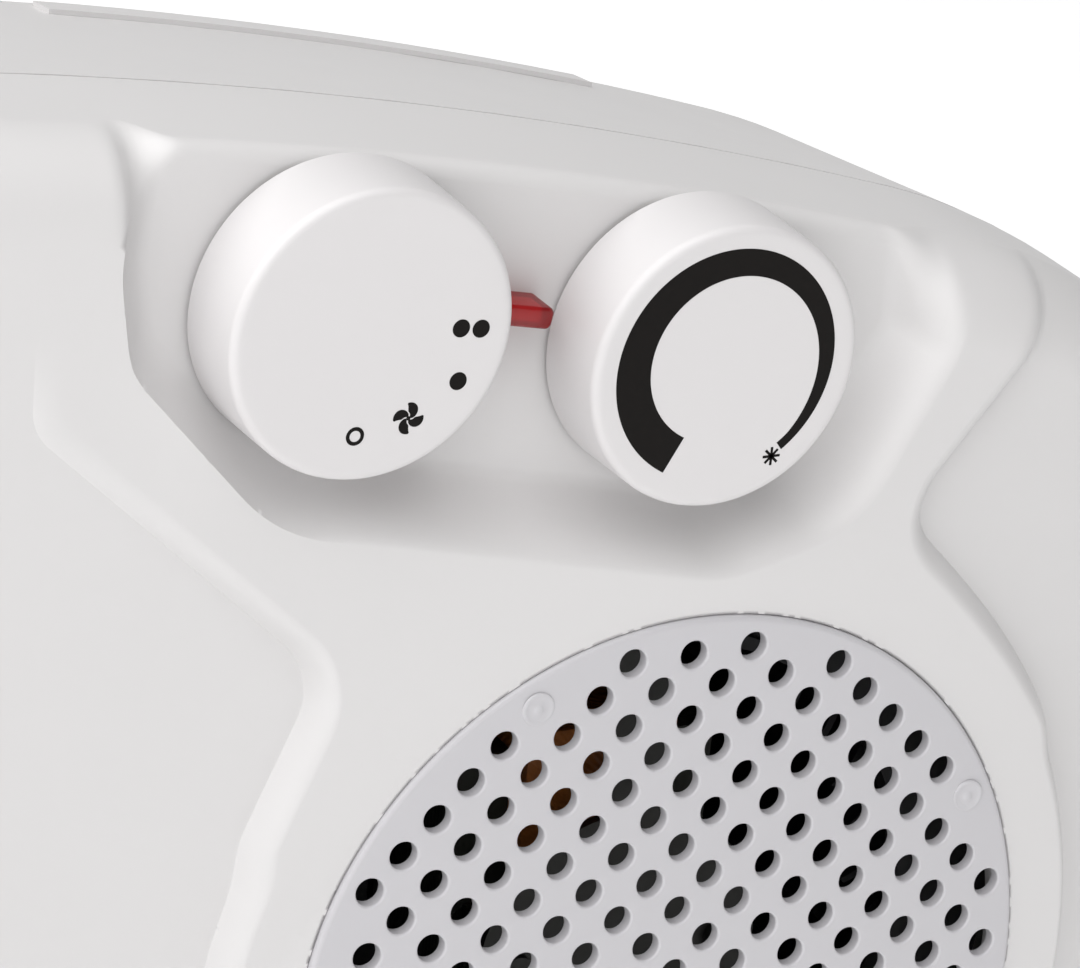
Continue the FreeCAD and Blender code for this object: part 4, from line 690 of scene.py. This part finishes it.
def build_cover(sizes, grille, material):
    """The front cover's skin: face, rolled rim, side wall to the seam, and the grille's seat."""
    face = FrontFace(sizes)
    opening = millimetres(grille.diameter / 2 + grille.gap)
    edge = face.case.walk(1.2)
    count = len(edge)
    radius = face.rim_radius(edge[:, 0], edge[:, 1])
    outer = edge[:, :2] - edge[:, 2:] * radius[:, None]
    flat, loops = cover_points(face, outer, opening)
    within = polygon_test([tuple(p) for p in outer])

    def keep(x, z):
        return within(x, z) & (np.hypot(x - FAN_X, z - FAN_Z) > opening - 0.005)

    flat, triangles = triangulate(flat, loops, keep)
    deep = face.depth(flat[:, 0], flat[:, 1])
    points = [(x, y, z) for (x, z), y in zip(flat, deep)]
    centre = flat[triangles].mean(axis=1)
    faces = [tuple(int(v) for v in t) for t in triangles]
    a, b, c = (flat[triangles[:, k]] for k in range(3))
    area = (b[:, 0] - a[:, 0]) * (c[:, 1] - a[:, 1]) - (b[:, 1] - a[:, 1]) * (c[:, 0] - a[:, 0])
    faces = [t if s > 0 else t[::-1] for t, s in zip(faces, area)]
    corners = np.array(faces)
    nudged = flat[corners] + 0.04 * (centre[:, None, :] - flat[corners])
    looks = face.normal(flat[:, 0], flat[:, 1])[corners]
    crease = abs(face.panel_edge(flat[:, 0], flat[:, 1])) < 0.05
    crease |= abs(face.pocket.distance(flat[:, 0], flat[:, 1])) < 0.05
    split = crease[corners]
    looks[split] = face.normal(nudged[split][:, 0], nudged[split][:, 1])

    rows = [0]
    steps = np.radians([78, 66, 54, 43, 32, 22, 12, 4, 0])
    for turn in steps:
        inset = radius * (1 - math.cos(turn))
        at = edge[:, :2] - edge[:, 2:] * inset[:, None]
        plain = face.plain(at[:, 0], at[:, 1])
        depth = plain + radius * (1 - math.sin(turn))
        rows.append(len(points))
        points += [(x, y, z) for (x, z), y in zip(at, depth)]
    lip_start = np.array([p[1] for p in points[rows[-1]:rows[-1] + count]])
    seam = -millimetres(sizes.seam)
    for along in (0.35, 0.7, 1):
        depth = lip_start + (seam - 0.55 - lip_start) * along
        rows.append(len(points))
        points += [(x, y, z) for (x, z), y in zip(edge[:, :2], depth)]
    lip = ((0.12, seam - 0.2), (0.45, seam - 0.05), (2.4, seam - 0.05), (2.5, seam - 12))
    for inward, depth in lip:
        rows.append(len(points))
        points += [(x - nx * inward, depth, z - nz * inward) for x, z, nx, nz in edge]
    bands = []
    for first, second in zip(rows, rows[1:]):
        bands += [f[::-1] for f in ring_faces(first, second, count)]

    seat = [(-0.03, 0.12), (-0.06, 0.45), (-0.2, 0.62), (-0.55, 0.7), (-1.1, 2.2), (-1.8, 2.4),
            (-1.8, 4.4)]
    previous = count
    for outward, behind in seat:
        here = len(points)
        reach = opening + outward
        for nx, nz in unit_ring(RING_SEGMENTS):
            x, z = FAN_X + reach * nx, FAN_Z + reach * nz
            points.append((x, float(face.plain(x, z)) + behind, z))
        bands += ring_faces(previous, here, RING_SEGMENTS)
        previous = here
    quads = np.array(bands)
    banded = corner_normals(points, bands)[quads]
    on_rim = quads < count
    rim = flat[quads[on_rim]]
    banded[on_rim] = face.normal(rim[:, 0], rim[:, 1])
    normals = np.concatenate([looks.reshape(-1, 3), banded.reshape(-1, 3)])
    piece = build_mesh("cover_skin", points, faces + bands, material, "case",
                       normals)
    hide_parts("front_cover")


def turned(name, profile, centre, material, body, segments=192):
    """A part turned about an axis that points forward, from (radius, depth) pairs."""
    turns = np.linspace(0, 2 * math.pi, segments, endpoint=False)
    points = []
    faces = []
    rows = []
    for radius, depth in profile:
        rows.append(len(points))
        if radius == 0:
            points.append((centre[0], depth, centre[1]))
        else:
            points += [(centre[0] + radius * math.cos(t), depth, centre[1] + radius * math.sin(t))
                       for t in turns]
    for (first, second), (a, b) in zip(zip(rows, rows[1:]), zip(profile, profile[1:])):
        if a[0] == 0:
            faces += [(first, second + i, second + (i + 1) % segments) for i in range(segments)]
        elif b[0] == 0:
            faces += [(second, first + (i + 1) % segments, first + i) for i in range(segments)]
        else:
            faces += [f[::-1] for f in ring_faces(first, second, segments)]
    return build_mesh(name, points, faces, material, body, sharp=35)


def build_knob(label, sizes, material, body):
    """A plain knob cap: flat face, small rolled edge, slightly drafted side, hollow behind."""
    low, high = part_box(label)
    front, rear = millimetres(low[1]), millimetres(high[1])
    centre = (millimetres(low[0] + high[0]) / 2, millimetres(low[2] + high[2]) / 2)
    radius = millimetres(sizes.diameter) / 2
    edge, draft = millimetres(sizes.edge), millimetres(sizes.draft)
    profile = [(0, front), (radius * 0.5, front), (radius - draft - edge - 0.6, front)]
    for turn in np.radians([0, 15, 30, 45, 60, 75, 90]):
        profile.append((radius - draft - edge + edge * math.sin(turn),
                        front + edge * (1 - math.cos(turn))))
    profile += [(radius - draft * 0.5, (front + rear) / 2), (radius, rear - 0.35),
                (radius - 0.3, rear), (radius - 2.2, rear), (radius - 2.4, front + 3),
                (0, front + 3)]
    cap = turned(label.replace("knob", "cap"), profile, centre, material, body)
    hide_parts(label)
    return centre, front


# ---------------------------------------------------------------- printed marks

def disc_loop(x, z, radius, count=40):
    return [(x + radius * math.cos(2 * math.pi * i / count),
             z + radius * math.sin(2 * math.pi * i / count)) for i in range(count)]


def ribbon(path, widths):
    """A closed loop round a path with a width at each point."""
    left, right = [], []
    for i, (x, z) in enumerate(path):
        ahead, behind = path[min(i + 1, len(path) - 1)], path[max(i - 1, 0)]
        run = math.hypot(ahead[0] - behind[0], ahead[1] - behind[1])
        nx, nz = -(ahead[1] - behind[1]) / run, (ahead[0] - behind[0]) / run
        left.append((x + nx * widths[i] / 2, z + nz * widths[i] / 2))
        right.append((x - nx * widths[i] / 2, z - nz * widths[i] / 2))
    return left + right[::-1]


def polar(centre, degrees, radius):
    turn = math.radians(degrees)
    return centre[0] + radius * math.cos(turn), centre[1] + radius * math.sin(turn)


def print_marks(name, loops, front, lift, material, body):
    """Flat marks lifted a hair off a knob's face, each with its own thin edge."""
    points, faces = [], []
    for outside, hole in loops:
        flat = list(outside) + list(hole or [])
        fixed = [(0, len(outside))] + ([(len(outside), len(hole))] if hole else [])
        edge = polygon_test(outside)
        gone = polygon_test(hole) if hole else None

        def keep(x, z, edge=edge, gone=gone):
            inside = edge(x, z)
            return inside & ~gone(x, z) if gone else inside

        verts, triangles = triangulate(flat, fixed, keep)
        first = len(points)
        points += [(x, front - lift, z) for x, z in verts]
        for t in triangles:
            (ax, az), (bx, bz), (cx, cz) = verts[t[0]], verts[t[1]], verts[t[2]]
            up = (bx - ax) * (cz - az) - (bz - az) * (cx - ax) > 0
            t = [first + int(v) for v in t]
            faces.append(tuple(t if up else t[::-1]))
        for loop in filter(None, (outside, hole)):
            start = len(points)
            points += [(x, front - lift, z) for x, z in loop]
            points += [(x, front + 0.01, z) for x, z in loop]
            faces += ring_faces(start, start + len(loop), len(loop))
    return build_mesh(name, points, faces, material, body, sharp=30)


def polygon_test(loop):
    """A test of whether points lie in a loop, by crossings."""
    def inside(x, z):
        crossed = np.zeros(np.shape(x), bool)
        for (ax, az), (bx, bz) in zip(loop, loop[1:] + loop[:1]):
            spans = (az > z) != (bz > z)
            if bz != az:
                crossed ^= spans & (x < (bx - ax) * (z - az) / (bz - az) + ax)
        return crossed
    return inside


def mode_marks(centre, sizes):
    centre = (centre[0] + MODE_PRINT_SHIFT[0], centre[1] + MODE_PRINT_SHIFT[1])
    dot = millimetres(sizes.dot) / 2
    loops = [(disc_loop(*polar(centre, degrees, radius), dot), None)
             for degrees, radius in ((-7, 13.4), (-7, 16.5), (-35, 16.5))]
    ring = polar(centre, -96, 16)
    loops.append((disc_loop(*ring, 1.38), disc_loop(*ring, 0.83)))
    hub = polar(centre, -66, 15.5)
    loops.append((disc_loop(*hub, 0.32, 20), None))
    for blade in range(4):
        path, widths = [], []
        for i in range(15):
            t = i / 14
            turn = 90 * blade + 20 + 75 * t
            path.append(polar(hub, turn, 0.3 + 1.95 * t))
            widths.append(0.22 + 1.9 * math.sin(math.pi * min(1, t * 0.62 + 0.2)) * t ** 0.6
                          * (1 - t ** 5))
        loops.append((ribbon(path, widths), None))
    return loops


def thermostat_marks(centre):
    centre = (centre[0] + THERMOSTAT_PRINT_SHIFT[0], centre[1] + THERMOSTAT_PRINT_SHIFT[1])
    thin, swell = 1.4, 4.4
    path, widths = [], []
    for i in range(181):
        t = i / 180
        width = thin + swell * (1 - min(1.0, t ** 0.9 * 1.02) ** 1.8)
        width = max(thin, width * (1 - 0.02 * t))
        path.append(polar(centre, -119 - 294 * t, 17.6 - width / 2))
        widths.append(width)
    loops = [(ribbon(path, widths), None)]
    star = polar(centre, -58.7, 17.5)
    for arm in range(4):
        ends = [polar(star, 45 * arm + half, 1.4) for half in (0, 180)]
        loops.append((ribbon([ends[0], star, ends[1]], [0.4] * 3), None))
    return loops


# ---------------------------------------------------------------- grille

def hole_centres(sizes):
    half = millimetres(sizes.pitch) / 2
    reach = millimetres(sizes.field)
    span = int(reach / half) + 1
    return [(i * half, j * half) for i in range(-span, span + 1) for j in range(-span, span + 1)
            if (i + j) % 2 and math.hypot(i, j) * half <= reach and (i, j) not in PIN_STEPS]


def build_grille(face, sizes, material):
    """The perforated intake plate, crowned like the panel, its holes and rim softly rounded."""
    radius = millimetres(sizes.diameter) / 2 + PLATE_OVERSIZE
    hole = millimetres(sizes.hole) / 2
    sheet, proud = millimetres(sizes.sheet), millimetres(sizes.proud)
    centres = hole_centres(sizes)
    ring = unit_ring(RING_SEGMENTS)
    small_ring = unit_ring(HOLE_SEGMENTS)
    fan = np.array([FAN_X, FAN_Z])
    flat = [fan + ring * (radius - PLATE_EDGE)]
    loops = [(0, len(ring))]
    starts = []
    first = len(ring)
    for centre in centres:
        flat.append(fan + centre + small_ring * (hole + HOLE_EDGE))
        loops.append((first, HOLE_SEGMENTS))
        starts.append(first)
        first += HOLE_SEGMENTS
    flat = np.concatenate(flat)
    middles = np.array(centres) + fan

    def keep(x, z):
        inside = np.hypot(x - FAN_X, z - FAN_Z) < radius - PLATE_EDGE
        for cx, cz in middles:
            inside &= np.hypot(x - cx, z - cz) > (hole + HOLE_EDGE) * 0.985
        return inside

    verts, triangles = triangulate(flat, loops, keep)

    def front(x, z):
        return face.panel_depth(x, z) - proud

    points = [(x, front(x, z), z) for x, z in verts]
    faces = []
    for t in triangles:
        (ax, az), (bx, bz), (cx, cz) = verts[t[0]], verts[t[1]], verts[t[2]]
        up = (bx - ax) * (cz - az) - (bz - az) * (cx - ax) > 0
        t = [int(v) for v in t]
        faces.append(tuple(t if up else t[::-1]))
    front_count = len(faces)
    rear = len(points)
    points += [(x, front(x, z) + sheet, z) for x, z in verts]
    faces += [tuple(rear + v for v in f[::-1]) for f in faces[:front_count]]

    def band(start, count, centre, shape, outward):
        previous = start
        for reach, behind in shape:
            here = len(points)
            unit = ring if count == len(ring) else small_ring
            for nx, nz in unit:
                x, z = centre[0] + reach * nx, centre[1] + reach * nz
                points.append((x, front(x, z) + behind, z))
            quads = ring_faces(previous, here, count)
            faces.extend(q[::-1] for q in quads) if outward else faces.extend(quads)
            previous = here

    rim = [(radius - PLATE_EDGE + PLATE_EDGE * math.sin(a), PLATE_EDGE * (1 - math.cos(a)))
           for a in np.radians([15, 30, 45, 60, 75, 90])]
    band(0, len(ring), fan, rim + [(radius, sheet)], True)
    well = [(hole + HOLE_EDGE * (1 - math.sin(a)), HOLE_EDGE * (1 - math.cos(a)))
            for a in np.radians([35, 65, 90])]
    for start, centre in zip(starts, middles):
        band(start, HOLE_SEGMENTS, centre, well + [(hole, sheet)], False)
    normals = corner_normals(points, faces)
    corner = np.concatenate([normals[list(f)] for f in faces])
    piece = build_mesh("intake_plate", points, faces, material, "case", corner)
    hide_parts("intake_grille")
    return front


def build_pins(front, sizes, material):
    """Witness marks of the grille's four pins: shallow rings with a raised middle."""
    half = millimetres(sizes.pitch) / 2
    for number, (i, j) in enumerate(PIN_STEPS, 1):
        x, z = FAN_X + i * half, FAN_Z + j * half
        top = float(front(x, z))
        profile = [(0, top - 0.34), (0.35, top - 0.33), (0.62, top - 0.22), (0.95, top - 0.13),
                   (1.7, top - 0.12), (2.05, top - 0.20), (2.3, top - 0.24), (2.5, top - 0.16),
                   (2.62, top + 0.1)]
        pin = turned(f"pin_mark_{number}", profile, (x, z), material, "case", 48)
        if number == 1:
            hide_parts("grille_pins")


# ---------------------------------------------------------------- lens

def build_lens(colour_material, core_material):
    """The long red lens between the knobs, with the lamp's bright block inside it."""
    low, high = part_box("indicator_lens")
    x, z = (millimetres(low[i] + high[i]) / 2 for i in (0, 2))
    z += LENS_RISE
    front, rear = millimetres(low[1]), millimetres(high[1])
    knobs = [middle("mode_knob"), middle("thermostat_knob")]
    slope = math.atan2(knobs[1][2] - knobs[0][2], knobs[1][0] - knobs[0][0])
    for name, half, thick, start, end, material, slot in (
            ("lens_shell", 4.5, 1.65, front, rear, colour_material, "red_lens"),
            ("lens_core", 2.9, 0.8, front + 0.9, front + 4.6, core_material, "red_lens")):
        bend = thick * 0.62
        corners = [(-half, -thick), (half, -thick), (half, thick), (-half, thick)]
        outline = rounded(corners, [bend] * 4)
        edge = outline.walk(0.12)
        count = len(edge)
        rows = []
        points, faces = [], []
        rounding = [(0.55, start), (0.3, start + 0.08), (0.1, start + 0.3), (0, start + 0.6)]
        for inset, depth in rounding + [(0, (start + end) / 2), (0, end)]:
            rows.append(len(points))
            for px, pz, nx, nz in edge:
                px, pz = px - nx * inset, pz - nz * inset
                points.append((x + px * math.cos(slope) - pz * math.sin(slope), depth,
                               z + px * math.sin(slope) + pz * math.cos(slope)))
        for first, second in zip(rows, rows[1:]):
            faces += [f[::-1] for f in ring_faces(first, second, count)]
        faces.append(tuple(range(count)))
        faces.append(tuple(range(rows[-1] + count - 1, rows[-1] - 1, -1)))
        piece = build_mesh(name, points, faces, material, "case", sharp=40)
        if name == "lens_shell":
            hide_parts("indicator_lens")


# ---------------------------------------------------------------- operators

class HEATER_OT_cover(bpy.types.Operator):
    """Build the front cover's moulded skin"""
    bl_idname = "heater.cover"
    bl_label = "Front cover"

    def execute(self, context):
        scene = context.scene
        build_cover(scene.heater_case, scene.heater_grille, finishes()["white_shell"])
        return {"FINISHED"}


class HEATER_OT_grille(bpy.types.Operator):
    """Build the perforated intake plate and the marks of its pins"""
    bl_idname = "heater.grille"
    bl_label = "Intake grille"

    def execute(self, context):
        material = finishes()["white_grille"]
        face = FrontFace(context.scene.heater_case)
        sizes = context.scene.heater_grille
        build_pins(build_grille(face, sizes, material), sizes, material)
        return {"FINISHED"}


class HEATER_OT_knobs(bpy.types.Operator):
    """Build both knob caps and the marks printed on them"""
    bl_idname = "heater.knobs"
    bl_label = "Knobs"

    def execute(self, context):
        sizes = context.scene.heater_knobs
        made = finishes()
        lift = millimetres(sizes.print_lift)
        centre, front = build_knob("mode_knob", sizes, made["white_knob"], "mode_dial")
        print_marks("mode_print", mode_marks(centre, sizes), front, lift, made["printed_ink"],
                    "mode_dial")
        centre, front = build_knob("thermostat_knob", sizes, made["white_knob"], "thermostat_dial")
        print_marks("thermostat_print", thermostat_marks(centre), front, lift, made["printed_ink"],
                    "thermostat_dial")
        return {"FINISHED"}


class HEATER_OT_lens(bpy.types.Operator):
    """Build the red indicator lens and its lit block"""
    bl_idname = "heater.lens"
    bl_label = "Indicator lens"

    def execute(self, context):
        made = finishes()
        build_lens(made["red_lens"], made["lit_core"])
        return {"FINISHED"}


class HEATER_OT_finishes(bpy.types.Operator):
    """Give every part carried over from the model its procedural finish"""
    bl_idname = "heater.finishes"
    bl_label = "Finishes"

    def execute(self, context):
        made = finishes()
        for name, node in NODES.items():
            old = [m.name.split(".")[0] for m in node.data.materials if m]
            if not old or old[0] not in made:
                raise RuntimeError(f"{name} has no known material slot: {old}")
            node.data.materials.clear()
            node.data.materials.append(made[old[0]])
        return {"FINISHED"}


def area_light(name, location, target, size, power):
    lamp = bpy.data.lights.new(name, "AREA")
    lamp.shape = "RECTANGLE"
    lamp.size, lamp.size_y = size
    lamp.energy = power
    holder = bpy.data.objects.new(name, lamp)
    aim = (Vector(target) - Vector(location)).normalized()
    holder.rotation_mode = "QUATERNION"
    holder.rotation_quaternion = aim.to_track_quat("-Z", "Y")
    holder.location = location
    bpy.context.scene.collection.objects.link(holder)


class HEATER_OT_stage(bpy.types.Operator):
    """Set the pale sweep, the soft studio light and the camera"""
    bl_idname = "heater.stage"
    bl_label = "Stage"

    def execute(self, context):
        scene = context.scene
        floor = CAD_BOX[0][2]
        rows = [(0.6, 0.0), (2.0, 0.0), (5.0, 0.0), (9.0, 0.0)]
        rows += [(9 + math.sin(a), 1 - math.cos(a)) for a in np.radians(range(6, 91, 6))]
        rows.append((10.0, 2.2))
        count = FLOOR_SEGMENTS
        points = [(0.0, 0.0, floor)]
        points += [(r * nx, r * nz, floor + z) for r, z in rows for nx, nz in unit_ring(count)]
        faces = [(0, 1 + i, 1 + (i + 1) % count) for i in range(count)]
        for k in range(len(rows) - 1):
            first = 1 + count * k
            faces += [f[::-1] for f in ring_faces(first, first + count, count)]
        mesh = bpy.data.meshes.new("sweep")
        mesh.from_pydata(points, [], faces)
        mesh.shade_smooth()
        finish = Finish("heater_sweep")
        paper = finish.noise(3.0, 3.0)
        rgb = scene.heater_colours.floor
        finish.feed("Base Color", finish.mix(paper, shade(rgb, 0.99), shade(rgb, 1.01)))
        finish.feed("Roughness", 0.85 + 0.1 * paper)
        finish.set(Emission_Color=(1, 1, 1, 1), Emission_Strength=0.2)
        mesh.materials.append(finish.material)
        sweep = bpy.data.objects.new("sweep", mesh)
        scene.collection.objects.link(sweep)
        world = bpy.data.worlds.new("studio")
        world.use_nodes = True
        world.node_tree.nodes["Background"].inputs["Color"].default_value = (1, 1, 1, 1)
        world.node_tree.nodes["Background"].inputs["Strength"].default_value = 0.25
        scene.world = world
        for light in LIGHTS:
            area_light(*light)
        scene.view_settings.view_transform = "Standard"
        camera = bpy.data.cameras.new("camera")
        camera.lens = CAMERA_LENS
        camera.sensor_width = CAMERA_SENSOR
        holder = bpy.data.objects.new("camera", camera)
        right = Vector(CAMERA_RIGHT).normalized()
        look = Vector(CAMERA_LOOK).normalized()
        up = right.cross(look).normalized()
        turn = Matrix((right, up, -look)).transposed().to_4x4()
        holder.matrix_world = Matrix.Translation(CAMERA_AT) @ turn
        scene.collection.objects.link(holder)
        scene.camera = holder
        return {"FINISHED"}


OPERATORS = (HEATER_OT_finishes, HEATER_OT_cover, HEATER_OT_grille, HEATER_OT_knobs, HEATER_OT_lens,
             HEATER_OT_stage)


class HEATER_PT_panel(bpy.types.Panel):
    bl_label = "Ceramic space heater"
    bl_idname = "HEATER_PT_panel"
    bl_space_type = "VIEW_3D"
    bl_region_type = "UI"
    bl_category = "Heater"

    def draw(self, context):
        for operator in OPERATORS:
            self.layout.operator(operator.bl_idname)
        for kind in GROUPS:
            column = self.layout.column()
            settings = getattr(context.scene, kind)
            for name in settings.bl_rna.properties.keys():
                if name not in ("rna_type", "name"):
                    column.prop(settings, name)


GROUPS = {
    "heater_case": HeaterCaseSizes,
    "heater_knobs": HeaterKnobSizes,
    "heater_grille": HeaterGrilleSizes,
    "heater_colours": HeaterColours,
}


def register():
    for kind, group in GROUPS.items():
        bpy.utils.register_class(group)
        setattr(bpy.types.Scene, kind, bpy.props.PointerProperty(type=group))
    for operator in OPERATORS:
        bpy.utils.register_class(operator)
    bpy.utils.register_class(HEATER_PT_panel)


def unregister():
    bpy.utils.unregister_class(HEATER_PT_panel)
    for operator in reversed(OPERATORS):
        bpy.utils.unregister_class(operator)
    for kind, group in GROUPS.items():
        delattr(bpy.types.Scene, kind)
        bpy.utils.unregister_class(group)


def main():
    register()
    bpy.ops.heater.finishes()
    bpy.ops.heater.cover()
    bpy.ops.heater.grille()
    bpy.ops.heater.knobs()
    bpy.ops.heater.lens()
    bpy.ops.heater.stage()


if __name__ == "__main__":
    main()
